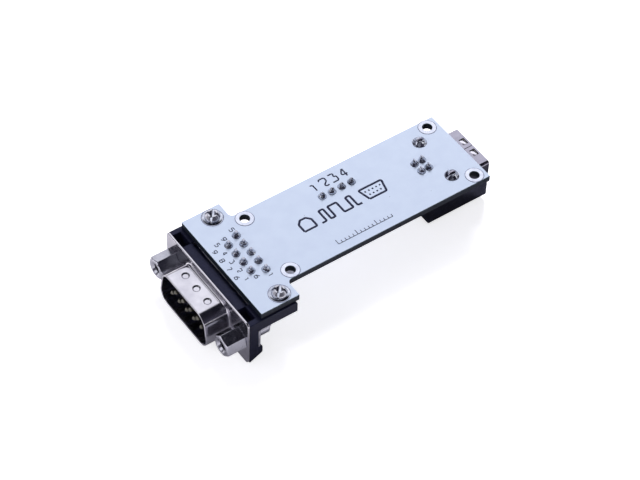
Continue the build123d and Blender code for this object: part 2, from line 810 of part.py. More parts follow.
make_solder(
    "serial_pin_solder",
    near_row + far_row,
    joint_foot_diameter,
    waist_of(joint_foot_diameter, contact_cap),
    contact_cap,
    joint_height,
    serial_contacts,
)
make_solder(
    "usb_pin_solder",
    usb_pin_places,
    joint_foot_diameter,
    waist_of(joint_foot_diameter, usb_cap),
    usb_cap,
    joint_height,
    usb_contacts,
)
make_solder(
    "header_solder",
    header_places,
    joint_foot_diameter,
    waist_of(joint_foot_diameter, header_cap),
    header_cap,
    joint_height,
    header_pins,
)
make_solder(
    "usb_leg_solder",
    usb_leg_places,
    leg_joint_diameter,
    waist_of(leg_joint_diameter, leg_joint_cap_diameter),
    leg_joint_cap_diameter,
    leg_joint_height,
    [usb_shell.part],
)

# Solder round the boardlocks: a low ring that leaves the prongs showing
with BuildPart() as boardlock_solder:
    for x, y in boardlock_places:
        lock_inner_x = x + boardlock_barb_diameter / 2
        with BuildSketch(Plane.XZ.offset(-y)):
            with BuildLine():
                Polyline(
                    (lock_inner_x, board_top),
                    (x + boardlock_land_diameter / 2, board_top),
                    (x + boardlock_land_diameter / 2, board_top + land_thickness),
                    (lock_inner_x + lock_joint_margin, board_top + lock_joint_height),
                    (lock_inner_x, board_top + lock_joint_height),
                    close=True,
                )
            make_face()
        revolve(axis=Axis((x, y, 0), (0, 0, 1)))
save(boardlock_solder, "boardlock_solder")


def make_chip(name, x, width, length, height):
    """A moulded chip body that hangs under the board, drafted both ways from its parting line."""
    middle = board_bottom - chip_standoff - height / 2
    with BuildPart() as chip:
        with BuildSketch(Plane.XY.offset(middle)):
            with Locations((x, 0)):
                Rectangle(width, length)
        extrude(amount=height / 2, both=True, taper=chip_draft)
        with BuildSketch(Plane.XY.offset(middle - height / 2)):
            with Locations((x + width / 3.2, length / 2 - width / 4.5)):
                Circle(chip_pin_mark_radius)
        extrude(amount=chip_pin_mark_depth, mode=Mode.SUBTRACT)
    save(chip, name)


def make_chip_leads(name, x, width, span, height, pitch, count, lead_width, thickness):
    """Gull-wing leads down both long sides of a chip, their feet flat on the board."""
    exit_z = board_bottom - chip_standoff - height / 2
    foot_z = board_bottom - thickness / 2
    with BuildPart() as leads:
        for side in sides.values():
            root_x = x + side * width / 2
            tip_x = x + side * span / 2
            with BuildSketch(Plane.XZ.offset((count - 1) * pitch / 2)):
                with BuildLine():
                    Polyline(
                        (root_x, exit_z),
                        (root_x + side * chip_knee, exit_z),
                        (tip_x - side * chip_foot, foot_z),
                        (tip_x, foot_z),
                    )
                trace(line_width=thickness)
        extrude(amount=lead_width / 2, both=True)
        pair = leads.part
        for i in range(1, count):
            add(pair.moved(Location((0, i * pitch, 0))))
    save(leads, name)


make_chip("bridge_chip", bridge_x, bridge_width, bridge_length, bridge_height)
make_chip_leads(
    "bridge_chip_leads",
    bridge_x,
    bridge_width,
    bridge_span,
    bridge_height,
    bridge_pitch,
    bridge_lead_count,
    bridge_lead_width,
    bridge_lead_thickness,
)
make_chip("driver_chip", driver_x, driver_width, driver_length, driver_height)
make_chip_leads(
    "driver_chip_leads",
    driver_x,
    driver_width,
    driver_span,
    driver_height,
    driver_pitch,
    driver_lead_count,
    driver_lead_width,
    driver_lead_thickness,
)

# Small parts under the board, long side across it
capacitor_places = [
    (pump_x, (i - (pump_capacitor_count - 1) / 2) * pump_capacitor_pitch)
    for i in range(pump_capacitor_count)
]
capacitor_places += [
    (driver_x, -driver_length / 2 - bypass_capacitor_gap),
    (bridge_x, -bridge_length / 2 - bypass_capacitor_gap),
]
capacitor_places += [(fuse_x, side * supply_capacitor_spacing / 2) for side in sides.values()]
resistor_x = bridge_start_x - resistor_to_bridge - chip_part_width / 2
resistor_y = resistor_to_side - board_width / 2
resistor_places = [(resistor_x - i * resistor_pitch, resistor_y) for i in range(2)]
lamp_places = [(x, y + chip_part_length + lamp_gap) for x, y in resistor_places]
fuse_places = [(fuse_x, 0)]


def make_chip_parts(name, ends_name, places, length, width, height, end):
    """Bodies and plated ends of small parts, the ends wrapped a little proud of the body."""
    with BuildPart() as bodies:
        with BuildSketch(Plane.XY.offset(board_bottom - terminal_thickness)):
            with Locations(*places):
                Rectangle(width - 2 * terminal_thickness, length - 2 * end)
        extrude(amount=-(height - 2 * terminal_thickness))
    save(bodies, name)
    with BuildPart() as terminals:
        with BuildSketch(Plane.XY.offset(board_bottom)):
            with Locations(*places):
                with GridLocations(0, length - end, 1, 2):
                    Rectangle(width, end)
        extrude(amount=-height)
    save(terminals, ends_name)


for name, ends_name, places, height in (
    ("capacitors", "capacitor_ends", capacitor_places, capacitor_height),
    ("resistors", "resistor_ends", resistor_places, resistor_height),
):
    make_chip_parts(
        name, ends_name, places, chip_part_length, chip_part_width, height, terminal_length
    )
make_chip_parts(
    "fuse", "fuse_ends", fuse_places, fuse_length, fuse_width, fuse_height, fuse_terminal_length
)

# Indicator lamps: a plated base with a drafted lens on it
with BuildPart() as lamp_bases:
    with BuildSketch(Plane.XY.offset(board_bottom)):
        with Locations(*lamp_places):
            Rectangle(chip_part_width, chip_part_length)
    extrude(amount=-lamp_base_height)
save(lamp_bases, "lamp_bases")

with BuildPart() as lamp_lenses:
    with BuildSketch(Plane.XY.offset(board_bottom - lamp_base_height)):
        with Locations(*lamp_places):
            Rectangle(chip_part_width, lamp_lens_length)
    extrude(amount=-lamp_lens_height, taper=lamp_lens_draft)
save(lamp_lenses, "lamp_lenses")
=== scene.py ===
# %% [markdown]
# # An adapter board between a USB receptacle and a serial plug
#
# The board lies with its solder side up and stands on its two connectors. The solids come from the
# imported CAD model, in metres, and this lesson gives them edges, solder, printing and finishes.
# Dressed pieces and solder joints follow the frame, so a change of size in the model carries over
# to them. The camera, the shaded zones of the floor and the printing are set for this one board.

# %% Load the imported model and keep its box
import json
import math

import bmesh
import bpy
from mathutils import Matrix, Vector


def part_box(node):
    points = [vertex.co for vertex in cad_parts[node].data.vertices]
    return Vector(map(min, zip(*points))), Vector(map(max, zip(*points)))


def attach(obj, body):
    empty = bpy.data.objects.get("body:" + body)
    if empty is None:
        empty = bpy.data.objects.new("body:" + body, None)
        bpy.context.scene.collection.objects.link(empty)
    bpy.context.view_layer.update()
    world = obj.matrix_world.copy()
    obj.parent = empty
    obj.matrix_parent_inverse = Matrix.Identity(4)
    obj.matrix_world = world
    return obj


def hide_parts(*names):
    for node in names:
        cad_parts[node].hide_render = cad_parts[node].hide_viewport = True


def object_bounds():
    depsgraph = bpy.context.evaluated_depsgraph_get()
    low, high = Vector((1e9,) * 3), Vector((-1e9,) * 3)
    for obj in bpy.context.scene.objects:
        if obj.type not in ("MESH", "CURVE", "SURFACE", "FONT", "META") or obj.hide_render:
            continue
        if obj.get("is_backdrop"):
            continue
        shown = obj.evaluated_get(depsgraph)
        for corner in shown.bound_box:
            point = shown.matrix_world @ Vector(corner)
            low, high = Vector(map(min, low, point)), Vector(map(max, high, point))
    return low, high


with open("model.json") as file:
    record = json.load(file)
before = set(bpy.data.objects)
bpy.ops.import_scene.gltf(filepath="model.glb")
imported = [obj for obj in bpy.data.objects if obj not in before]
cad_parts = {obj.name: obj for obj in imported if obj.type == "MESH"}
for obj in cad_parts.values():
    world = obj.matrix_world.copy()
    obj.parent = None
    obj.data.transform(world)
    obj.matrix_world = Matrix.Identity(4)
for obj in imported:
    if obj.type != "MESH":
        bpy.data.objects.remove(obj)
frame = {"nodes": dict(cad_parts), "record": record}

MM = 0.001
cad_low, cad_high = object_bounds()
nodes = frame["nodes"]
slot_of = {part["node"]: part["material_slot"] for part in frame["record"]["subparts"]}
print("CAD nodes:", len(nodes), "box in mm:", [round(v / MM, 2) for v in cad_high - cad_low])

# %% [markdown]
# ## Camera
#
# The view looks down on the solder side from the serial end. It was fitted to the contact rows, the
# screw locks and the board's corners, so it is given as a point to look at, two angles, a small
# roll and a long lens, which keeps the lines nearly parallel.

# %% Camera
camera_aim = Vector((-3.61, -0.99, 7.5)) * MM
camera_azimuth = math.radians(-36.74)
camera_elevation = math.radians(48.99)
camera_roll = math.radians(2.29)
camera_distance = 518.4 * MM
camera_lens = 137.1
camera_clip_end = 10.0

camera_back = Vector(
    (
        math.sin(camera_azimuth) * math.cos(camera_elevation),
        -math.cos(camera_azimuth) * math.cos(camera_elevation),
        math.sin(camera_elevation),
    )
)
camera = bpy.data.objects.new("camera", bpy.data.cameras.new("camera"))
bpy.context.scene.collection.objects.link(camera)
camera.data.lens = camera_lens
camera.data.clip_end = camera_clip_end
turn = (-camera_back).to_track_quat("-Z", "Y").to_matrix() @ Matrix.Rotation(camera_roll, 3, "Z")
camera.matrix_world = Matrix.Translation(camera_aim + camera_back * camera_distance) @ turn.to_4x4()
bpy.context.scene.camera = camera
print("camera at", [round(v, 4) for v in camera.matrix_world.translation])

# %% [markdown]
# ## Small tools for node trees
#
# Every finish and every generated shape is a node tree. One helper adds a node, one sets or links
# an input, one does arithmetic and one makes a tree's named sockets, so the recipes below stay
# short.


# %% Helpers for node trees
def add(tree, kind, settings=None, **inputs):
    """A new node, with its settings and its unlinked inputs or links given by name."""
    node = tree.nodes.new(kind)
    for key, value in (settings or {}).items():
        setattr(node, key, value)
    for key, value in inputs.items():
        plug(tree, node.inputs[key.replace("_", " ")], value)
    return node


def plug(tree, socket, value):
    """Link an output to this input, or set the input's own value."""
    if isinstance(value, bpy.types.NodeSocket):
        tree.links.new(value, socket)
    else:
        socket.default_value = value


def math_node(tree, operation, *values):
    """The result of one step of arithmetic on links or numbers."""
    node = tree.nodes.new("ShaderNodeMath")
    node.operation = operation
    for socket, value in zip(node.inputs, values):
        plug(tree, socket, value)
    return node.outputs[0]


def make_tree(name, kind, inputs, outputs):
    """A node group with named sockets. Each input is its name, its kind and its first value."""
    tree = bpy.data.node_groups.new(name, kind)
    for label, socket_kind, value in inputs:
        socket = tree.interface.new_socket(label, in_out="INPUT", socket_type=socket_kind)
        if value is not None:
            socket.default_value = value
    for label, socket_kind in outputs:
        tree.interface.new_socket(label, in_out="OUTPUT", socket_type=socket_kind)
    return tree, tree.nodes.new("NodeGroupInput").outputs, tree.nodes.new("NodeGroupOutput").inputs


print("helpers for trees:", [helper.__name__ for helper in (add, plug, math_node, make_tree)])

# %% [markdown]
# A few steps come back in nearly every tree: to blend two colours, to fade from 0 to 1 between two
# places, and to take a vector apart. A Mix node keeps sockets for every kind of data and shows only
# those of its own kind, so the numbers of the right ones are written down once.

# %% Helpers for blends, places and colours
mix_sockets = {"RGBA": (0, 6, 7, 2), "FLOAT": (0, 2, 3, 0)}
white = (1.0, 1.0, 1.0, 1.0)


def mix(tree, share, first, second, kind="RGBA"):
    """Blend two colours or numbers. A share of 0 gives the first of them and 1 the second."""
    factor, low_input, high_input, result = mix_sockets[kind]
    node = add(tree, "ShaderNodeMix", {"data_type": kind})
    plug(tree, node.inputs[factor], share)
    plug(tree, node.inputs[low_input], first)
    plug(tree, node.inputs[high_input], second)
    return node.outputs[result]


def fade(tree, value, start, end, shape="LINEAR"):
    """0 where the value is at its start, 1 where it is at its end, and a slope in between."""
    settings = {"interpolation_type": shape}
    return add(tree, "ShaderNodeMapRange", settings, Value=value, From_Min=start, From_Max=end).outputs[0]


def split(tree, vector):
    """The X, Y and Z of a vector."""
    return add(tree, "ShaderNodeSeparateXYZ", Vector=vector).outputs


def own_place(tree):
    """The place of the shaded point in Object coordinates."""
    return add(tree, "ShaderNodeTexCoord").outputs["Object"]


def linear(red, green, blue):
    """A colour as it looks on screen, 0 to 255, in the linear values that shaders take."""
    def channel(value):
        value /= 255
        return value / 12.92 if value <= 0.04045 else ((value + 0.055) / 1.055) ** 2.4
    return channel(red), channel(green), channel(blue), 1.0


print("middle grey on screen is", round(linear(128, 128, 128)[0], 3), "in a shader")

# %% [markdown]
# ## Floor
#
# The picture is a plain product shot on a white ground. The floor is one sheet of pale paper,
# because a single face catches the shadow and has no seam.

# %% Floor sheet
floor_reach = 1.5
floor_drop = 0.02 * MM

corner_signs = ((-1, -1), (1, -1), (1, 1), (-1, 1))
floor_corners = [(x * floor_reach, y * floor_reach, -floor_drop) for x, y in corner_signs]
floor_mesh = bpy.data.meshes.new("floor")
floor_mesh.from_pydata(floor_corners, [], [(0, 1, 2, 3)])
floor = bpy.data.objects.new("floor", floor_mesh)
bpy.context.scene.collection.objects.link(floor)
floor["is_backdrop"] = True
print("floor at", -floor_drop / MM, "mm")

# %% [markdown]
# A little emission lifts the paper to white for the camera and leaves a trace of the shadow. Two
# small zones get no lift, so that holes and gaps look down into shade: a strip under the middle of
# the board, which shows through the two nearer mounting holes, and a slot behind the serial plug,
# which shows between its insulator and the board, and whose paper is painted a darker grey as
# shade too. Mirrors and glass get the same lift, but only well away from the strip. Near the USB
# receptacle the paper they see is painted the same darker grey as shade, because the receptacle's
# side is dark. Each zone is a rectangle with a soft edge, worked out from the place on the floor.

# %% Floor paper
floor_lift = 0.72
paper_colour = (232, 230, 238)
# A darker grey, painted on the paper as shade
paper_in_shade = (84, 86, 96)
strip_half_width = 1.2 * MM
slot_middle = (-22.0 * MM, 8.4 * MM)
slot_half = (2.5 * MM, 9.6 * MM)

# The start and end of each soft edge, in millimetres away from its rectangle
edge_seen = (0.0, 1.0)
edge_mirrored = (20.0, 55.0)
edge_of_painted_shade = (10.0, 28.0)

floor_material = bpy.data.materials.new("floor_paper")
floor_material.use_nodes = True
tree = floor_material.node_tree
tree.nodes.clear()
rays = add(tree, "ShaderNodeLightPath").outputs
spot = split(tree, own_place(tree))


def outside(tree, middle, half, edge):
    """0 on a rectangle of the floor, given by its middle and half sides, and 1 past its edge."""
    squares = []
    for axis, centre, reach in zip("XY", middle, half):
        from_centre = math_node(tree, "ABSOLUTE", math_node(tree, "SUBTRACT", spot[axis], centre))
        gap = math_node(tree, "MAXIMUM", math_node(tree, "SUBTRACT", from_centre, reach), 0.0)
        squares.append(math_node(tree, "POWER", gap, 2.0))
    distance = math_node(tree, "SQRT", math_node(tree, "ADD", *squares))
    return fade(tree, distance, edge[0] * MM, edge[1] * MM)


board_low, board_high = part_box("circuit_board")
strip_middle = ((board_low.x + board_high.x) / 2, 0.0)
strip_half = ((board_high.x - board_low.x) / 2, strip_half_width)
usb_low, usb_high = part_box("usb_shell")
usb_middle = ((usb_low.x + usb_high.x) / 2, (usb_low.y + usb_high.y) / 2)
usb_half = ((usb_high.x - usb_low.x) / 2, (usb_high.y - usb_low.y) / 2)

off_slot = outside(tree, slot_middle, slot_half, edge_seen)
off_strip = outside(tree, strip_middle, strip_half, edge_seen)
far_from_strip = outside(tree, strip_middle, strip_half, edge_mirrored)
off_painted_shade = outside(tree, usb_middle, usb_half, edge_of_painted_shade)
camera_rays = rays["Is Camera Ray"]
mirror_rays = math_node(tree, "MAXIMUM", rays["Is Glossy Ray"], rays["Is Transmission Ray"])

seen_white = math_node(tree, "MULTIPLY", camera_rays, math_node(tree, "MULTIPLY", off_strip, off_slot))
mirrored_white = math_node(tree, "MULTIPLY", mirror_rays, far_from_strip)
lift_share = math_node(tree, "MAXIMUM", seen_white, mirrored_white)
# Painted shade: darker grey paper in the slot for the camera, and round the USB receptacle for mirrors
in_slot = math_node(tree, "MULTIPLY", camera_rays, math_node(tree, "SUBTRACT", 1.0, off_slot))
on_painted_shade = math_node(tree, "MULTIPLY", mirror_rays, math_node(tree, "SUBTRACT", 1.0, off_painted_shade))
in_shade = math_node(tree, "MAXIMUM", on_painted_shade, in_slot)

sheet = mix(tree, in_shade, linear(*paper_colour), linear(*paper_in_shade))
paper = add(tree, "ShaderNodeBsdfDiffuse", Color=sheet)
lift_strength = math_node(tree, "MULTIPLY", lift_share, floor_lift)
lift = add(tree, "ShaderNodeEmission", Color=white, Strength=lift_strength)
shown = add(tree, "ShaderNodeAddShader")
tree.links.new(paper.outputs[0], shown.inputs[0])
tree.links.new(lift.outputs[0], shown.inputs[1])
tree.links.new(shown.outputs[0], add(tree, "ShaderNodeOutputMaterial").inputs["Surface"])
floor_mesh.materials.append(floor_material)
print("the floor's paper has", len(tree.nodes), "nodes")

# %% [markdown]
# ## What the metal mirrors
#
# A mirror shows its surroundings, so bright metal next to dark metal needs a studio with both.
# Glossy rays meet the same white backdrop as the camera, up to a little above the horizon behind
# the part. Over it is a dark ceiling with soft windows: a large one behind the part, which every
# level face mirrors towards the camera, and smaller ones that put sparks on the solder.

# %% Mirrored sky
sky_at_horizon = (74, 72, 88)
sky_overhead = (30, 30, 40)
sky_overhead_from = 0.8
backdrop_top = 0.16
backdrop_side_fade = 0.2

# Where each window lies, the angle up to which it is full and the one at which it has faded out,
# its colour and its strength
windows = {
    "behind": ((0.40, 0.66, 0.63), 22, 33, (236, 237, 244), 1.55),
    "front": ((-0.45, -0.62, 0.64), 8, 20, (226, 228, 240), 0.3),
    "left": ((-0.80, 0.25, 0.55), 16, 25, (248, 248, 255), 1.4),
    "right": ((0.80, -0.42, 0.42), 7, 15, (255, 255, 255), 1.6),
}

world = bpy.data.worlds.new("studio")
bpy.context.scene.world = world
world.use_nodes = True
# Rays find the sky by themselves, so it needs no map of its bright parts
world.cycles.sampling_method = "NONE"
tree = world.node_tree
tree.nodes.clear()
direction = add(tree, "ShaderNodeTexCoord").outputs["Generated"]
height = split(tree, direction)["Z"]


def turned_toward(tree, aim):
    """How closely the direction of a ray agrees with an aim, 1 where it is the same."""
    toward = add(tree, "ShaderNodeVectorMath", {"operation": "DOT_PRODUCT"}, Vector=direction)
    toward.inputs[1].default_value = aim
    return toward.outputs["Value"]


ceiling = add(tree, "ShaderNodeValToRGB", Fac=height)
ceiling.color_ramp.elements[0].color = linear(*sky_at_horizon)
ceiling.color_ramp.elements[1].position = sky_overhead_from
ceiling.color_ramp.elements[1].color = linear(*sky_overhead)
mirrored_sky = ceiling.outputs[0]
for aim, inner, outer, colour, strength in windows.values():
    start, end = math.cos(math.radians(outer)), math.cos(math.radians(inner))
    inside = fade(tree, turned_toward(tree, Vector(aim).normalized()), start, end, "SMOOTHSTEP")
    bright = [channel * strength for channel in linear(*colour)[:3]] + [1.0]
    mirrored_sky = mix(tree, inside, mirrored_sky, bright)
low_enough = fade(tree, height, backdrop_top, 0.0)
behind_part = turned_toward(tree, (-camera_back.x, -camera_back.y, 0.0))
on_backdrop = math_node(tree, "MULTIPLY", low_enough, fade(tree, behind_part, 0.0, backdrop_side_fade))
mirrored_sky = mix(tree, on_backdrop, mirrored_sky, white)
print("windows in the mirrored sky:", ", ".join(windows))

# %% [markdown]
# Three kinds of ray leave the part, and each meets its own sky. The camera and glass see plain
# white, glossy rays see the studio above, and matt surfaces get an even, dim light, which fills
# the shadows with hardly a colour of its own.

# %% World
even_light = 0.235
air_colour = (246, 247, 255)

rays = add(tree, "ShaderNodeLightPath").outputs
air = add(tree, "ShaderNodeBackground", Color=linear(*air_colour), Strength=even_light)
glossy_air = add(tree, "ShaderNodeBackground", Color=mirrored_sky, Strength=1.0)
white_air = add(tree, "ShaderNodeBackground", Color=white, Strength=1.0)
for_metal = add(tree, "ShaderNodeMixShader", Fac=rays["Is Glossy Ray"])
tree.links.new(air.outputs[0], for_metal.inputs[1])
tree.links.new(glossy_air.outputs[0], for_metal.inputs[2])
sees_white = math_node(tree, "MAXIMUM", rays["Is Camera Ray"], rays["Is Transmission Ray"])
for_camera = add(tree, "ShaderNodeMixShader", Fac=sees_white)
tree.links.new(for_metal.outputs[0], for_camera.inputs[1])
tree.links.new(white_air.outputs[0], for_camera.inputs[2])
tree.links.new(for_camera.outputs[0], add(tree, "ShaderNodeOutputWorld").inputs["Surface"])
bpy.context.scene.view_settings.view_transform = "Standard"
print("even light:", even_light)

# %% [markdown]
# ## Lamps
#
# Three soft boxes light the matt faces. The strong one hangs behind the part and throws its soft
# shadow towards the camera, and two weak ones open the left side and the front. Glossy rays pass
# through them, so the metal mirrors the windows of the sky, and light and mirror image can be set
# apart from each other.

# %% Lamps
# Where each lamp hangs, its side in metres, its watts and its colour
lamps = {
    "soft_box_behind": ((0.30, 0.42, 0.62), 0.30, 5.4, (1.0, 0.995, 0.99)),
    "soft_box_left": ((-0.55, 0.15, 0.45), 0.30, 0.8, (0.98, 0.99, 1.0)),
    "soft_box_front": ((-0.05, -0.65, 0.5), 0.40, 0.4, (1.0, 1.0, 1.0)),
}
for name, (place, side, watts, colour) in lamps.items():
    lamp = bpy.data.lights.new(name, "AREA")
    lamp.shape = "SQUARE"
    lamp.size = side
    lamp.energy = watts
    lamp.color = colour
    box = bpy.data.objects.new(name, lamp)
    box.visible_glossy = False
    bpy.context.scene.collection.objects.link(box)
    facing = (-Vector(place)).to_track_quat("-Z", "Y").to_matrix().to_4x4()
    box.matrix_world = Matrix.Translation(place) @ facing
print("lamps:", ", ".join(lamps))

# %% [markdown]
# ## Finishes
#
# No real surface is one flat colour. Mottle is a shader group that nearly every finish shares. A
# slow noise drifts between two colours, and a fine one between two roughnesses, and the fine one is
# also the height of the grain. It reads Object coordinates, which here are metres, so a feature
# size is a real size.


# %% Group: mottle
def build_mottle(slow_share=0.21, slow_range=(0.35, 0.65), fine_range=(0.3, 0.7)):
    """Two noises, the slow one with slow_share of the fine one's scale, and the range of each."""
    tree, given, out = make_tree(
        "mottle",
        "ShaderNodeTree",
        [
            ("Feature Size", "NodeSocketFloat", 0.5 * MM),
            ("First Colour", "NodeSocketColor", (0.8, 0.8, 0.8, 1)),
            ("Second Colour", "NodeSocketColor", (0.7, 0.7, 0.7, 1)),
            ("First Roughness", "NodeSocketFloat", 0.4),
            ("Second Roughness", "NodeSocketFloat", 0.5),
        ],
        [("Colour", "NodeSocketColor"), ("Roughness", "NodeSocketFloat"), ("Height", "NodeSocketFloat")],
    )
    place = own_place(tree)
    scale = math_node(tree, "DIVIDE", 1.0, given["Feature Size"])
    fine = add(tree, "ShaderNodeTexNoise", Vector=place, Scale=scale, Detail=4.0, Roughness=0.6)
    slow_scale = math_node(tree, "MULTIPLY", scale, slow_share)
    slow = add(tree, "ShaderNodeTexNoise", Vector=place, Scale=slow_scale, Detail=3.0, Roughness=0.55)
    drift = fade(tree, slow.outputs["Fac"], *slow_range)
    colour = mix(tree, drift, given["First Colour"], given["Second Colour"])
    speckle = fade(tree, fine.outputs["Fac"], *fine_range)
    rough = mix(tree, speckle, given["First Roughness"], given["Second Roughness"], "FLOAT")
    tree.links.new(colour, out["Colour"])
    tree.links.new(rough, out["Roughness"])
    tree.links.new(fine.outputs["Fac"], out["Height"])
    return tree


mottle = build_mottle()
print("mottle has", len(mottle.nodes), "nodes")

# %% [markdown]
# Sheet and bar leave the mill with fine lines along one direction. A noise that is stretched that
# way gives them as a height, and its width is again a real size. Which direction it is differs
# from piece to piece, so it is an input of the group.


# %% Group: rolled streaks
def build_streaks():
    tree, given, out = make_tree(
        "rolled_streaks",
        "ShaderNodeTree",
        [("Width", "NodeSocketFloat", 0.05 * MM), ("Stretch", "NodeSocketVector", (0.05, 1.0, 1.0))],
        [("Height", "NodeSocketFloat")],
    )
    pulled = add(tree, "ShaderNodeMapping", Vector=own_place(tree), Scale=given["Stretch"])
    scale = math_node(tree, "DIVIDE", 1.0, given["Width"])
    noise = add(tree, "ShaderNodeTexNoise", Vector=pulled.outputs[0], Scale=scale, Detail=3.0)
    tree.links.new(noise.outputs["Fac"], out["Height"])
    return tree


rolled_streaks = build_streaks()
print("rolled streaks has", len(rolled_streaks.nodes), "nodes")

# %% [markdown]
# A finish is these groups in a material of its own, with the values of one real surface: tin from
# a bath, nickel on drawn sheet or on turned bar, moulded plastic, fired ceramic. Two colours that
# lie close together keep a surface calm, and a low roughness with two values keeps metal alive.

# %% Finishes of the pieces
grain_under_streaks = 0.4
along_x = (0.04, 1.0, 1.0)
along_y = (1.0, 0.04, 1.0)


def place_group(tree, group, **inputs):
    """The outputs of a shader group that is placed in a tree with its own values."""
    return add(tree, "ShaderNodeGroup", {"node_tree": group}, **inputs).outputs


def make_finish(name, first, second, rough, feature, grain, metallic=0.0, streaks=None, gloss=0.5):
    """Two colours, a pair of roughnesses, the feature size in millimetres, the height of the grain
    in micrometres, and streaks as a width in millimetres and a direction."""
    material = bpy.data.materials.new(name)
    material.use_nodes = True
    tree = material.node_tree
    shader = tree.nodes["Principled BSDF"]
    shader.inputs["Metallic"].default_value = metallic
    shader.inputs["Specular IOR Level"].default_value = gloss
    made = place_group(
        tree,
        mottle,
        Feature_Size=feature * MM,
        First_Colour=linear(*first),
        Second_Colour=linear(*second),
        First_Roughness=rough[0],
        Second_Roughness=rough[1],
    )
    tree.links.new(made["Colour"], shader.inputs["Base Color"])
    tree.links.new(made["Roughness"], shader.inputs["Roughness"])
    height = made["Height"]
    if streaks:
        lines = place_group(tree, rolled_streaks, Width=streaks[0] * MM, Stretch=streaks[1])
        fine_grain = math_node(tree, "MULTIPLY", height, grain_under_streaks)
        height = math_node(tree, "ADD", fine_grain, lines["Height"])
    bump = add(tree, "ShaderNodeBump", Strength=1.0, Distance=grain * MM / 1000, Height=height)
    tree.links.new(bump.outputs[0], shader.inputs["Normal"])
    return material


finishes = {
    "tinned_copper": make_finish(
        "bright_tin", (220, 224, 236), (202, 206, 220), (0.22, 0.36), 0.25, 1.5, metallic=1.0
    ),
    "nickel_shell": make_finish(
        "drawn_nickel", (206, 204, 210), (190, 188, 196), (0.13, 0.22), 0.9, 0.5,
        metallic=1.0, streaks=(0.08, along_y),
    ),
    "usb_nickel": make_finish(
        "folded_nickel", (168, 165, 178), (152, 149, 162), (0.15, 0.25), 0.8, 0.6,
        metallic=1.0, streaks=(0.08, along_x),
    ),
    "nickel_screw": make_finish(
        "turned_nickel", (194, 194, 202), (176, 176, 185), (0.2, 0.28), 0.9, 0.25,
        metallic=1.0, streaks=(0.08, along_x),
    ),
    "tinned_steel": make_finish(
        "tinned_strip", (206, 206, 214), (186, 186, 194), (0.24, 0.36), 0.5, 1.0,
        metallic=1.0, streaks=(0.07, along_x),
    ),
    "black_moulding": make_finish(
        "navy_black_moulding", (26, 28, 50), (33, 35, 58), (0.32, 0.44), 0.12, 2.5, gloss=0.14
    ),
    "white_moulding": make_finish(
        "ivory_moulding", (236, 235, 230), (226, 225, 220), (0.42, 0.55), 0.15, 2.0
    ),
    "gold_plate": make_finish(
        "thin_gold", (214, 200, 164), (194, 178, 138), (0.16, 0.28), 0.2, 0.6, metallic=1.0
    ),
    "worn_gold": make_finish(
        "worn_gold", (138, 135, 125), (112, 109, 99), (0.24, 0.36), 0.2, 0.6, metallic=1.0
    ),
    "solder": make_finish(
        "bright_solder", (214, 218, 228), (146, 150, 164), (0.04, 0.1), 0.35, 2.0, metallic=1.0
    ),
    "chip_moulding": make_finish("chip_epoxy", (44, 44, 48), (36, 36, 40), (0.5, 0.66), 0.08, 4.0),
    "capacitor_ceramic": make_finish(
        "fired_ceramic", (150, 122, 92), (136, 108, 80), (0.42, 0.55), 0.1, 2.0
    ),
    "resistor_glaze": make_finish("black_glaze", (34, 34, 40), (26, 26, 32), (0.18, 0.3), 0.2, 1.5),
    "fuse_green": make_finish("fuse_laminate", (58, 104, 72), (48, 92, 62), (0.4, 0.55), 0.15, 3.0),
    "lamp_white": make_finish("lamp_base", (232, 232, 226), (220, 220, 214), (0.45, 0.55), 0.15, 2.0),
    "lamp_clear": make_finish("lamp_epoxy", (240, 226, 170), (232, 214, 150), (0.08, 0.16), 0.4, 0.8),
}
print("finishes:", len(finishes))

# %% [markdown]
# The contacts and the header pins are gold where a plug touches them, and their tails come out of
# the solder bath tinned. The place of a point along one axis tells the shader which of the two it
# is. The contacts of the serial plug change twice: behind the insulator a dark grey paints the
# shade that falls on them, and from the underside of the board up they are bright tin.

# %% Tinned tails, with painted shade behind the insulator
bright_tin = (176, 178, 190)
# A dark grey that paints the shade falling on the contacts behind the insulator
tin_in_painted_shade = (66, 67, 74)


def recolour(material, choose, colour):
    """Give a finish another colour where a mask says so. The mask is made from the point's place."""
    tree = material.node_tree
    shader = tree.nodes["Principled BSDF"]
    plain = shader.inputs["Base Color"].links[0].from_socket
    mask = choose(tree, split(tree, own_place(tree)))
    tree.links.new(mix(tree, mask, plain, linear(*colour)), shader.inputs["Base Color"])


def past(axis, level):
    """A mask that is 1 past a level on an axis."""
    return lambda tree, place: math_node(tree, "GREATER_THAN", place[axis], level)


insulator_low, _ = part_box("serial_insulator")
recolour(finishes["gold_plate"], past("Z", board_low.z), bright_tin)
# Behind the insulator the contacts get the painted shade
recolour(finishes["worn_gold"], past("X", insulator_low.x), tin_in_painted_shade)
recolour(finishes["worn_gold"], past("Z", board_low.z), bright_tin)
print("tin starts at", round(board_low.z / MM, 2), "mm")

# %% [markdown]
# The two springs pressed out of the receptacle's shell lie a little below it and tilt, so they
# mirror the brightest part of the studio. A flat spring can't, so a painted highlight makes its
# metal paler instead, chosen by its height and by its distance from the middle of the shell.

# %% Springs with a painted highlight
shell_gap = 0.1 * MM
spring_drop = 0.2 * MM
spring_reach = 4.5 * MM
# A painted highlight, paler than the rest of the shell
spring_highlight_colour = (230, 227, 236)
spring_level = board_low.z - shell_gap - spring_drop


def on_springs(tree, place):
    """A mask that is 1 in the thin layer of the springs, away from the walls of the shell."""
    level = math_node(tree, "COMPARE", place["Z"], spring_level, spring_drop / 2)
    inner = math_node(tree, "LESS_THAN", math_node(tree, "ABSOLUTE", place["Y"]), spring_reach)
    return math_node(tree, "MULTIPLY", level, inner)


recolour(finishes["usb_nickel"], on_springs, spring_highlight_colour)
print("springs at", round(spring_level / MM, 2), "mm")

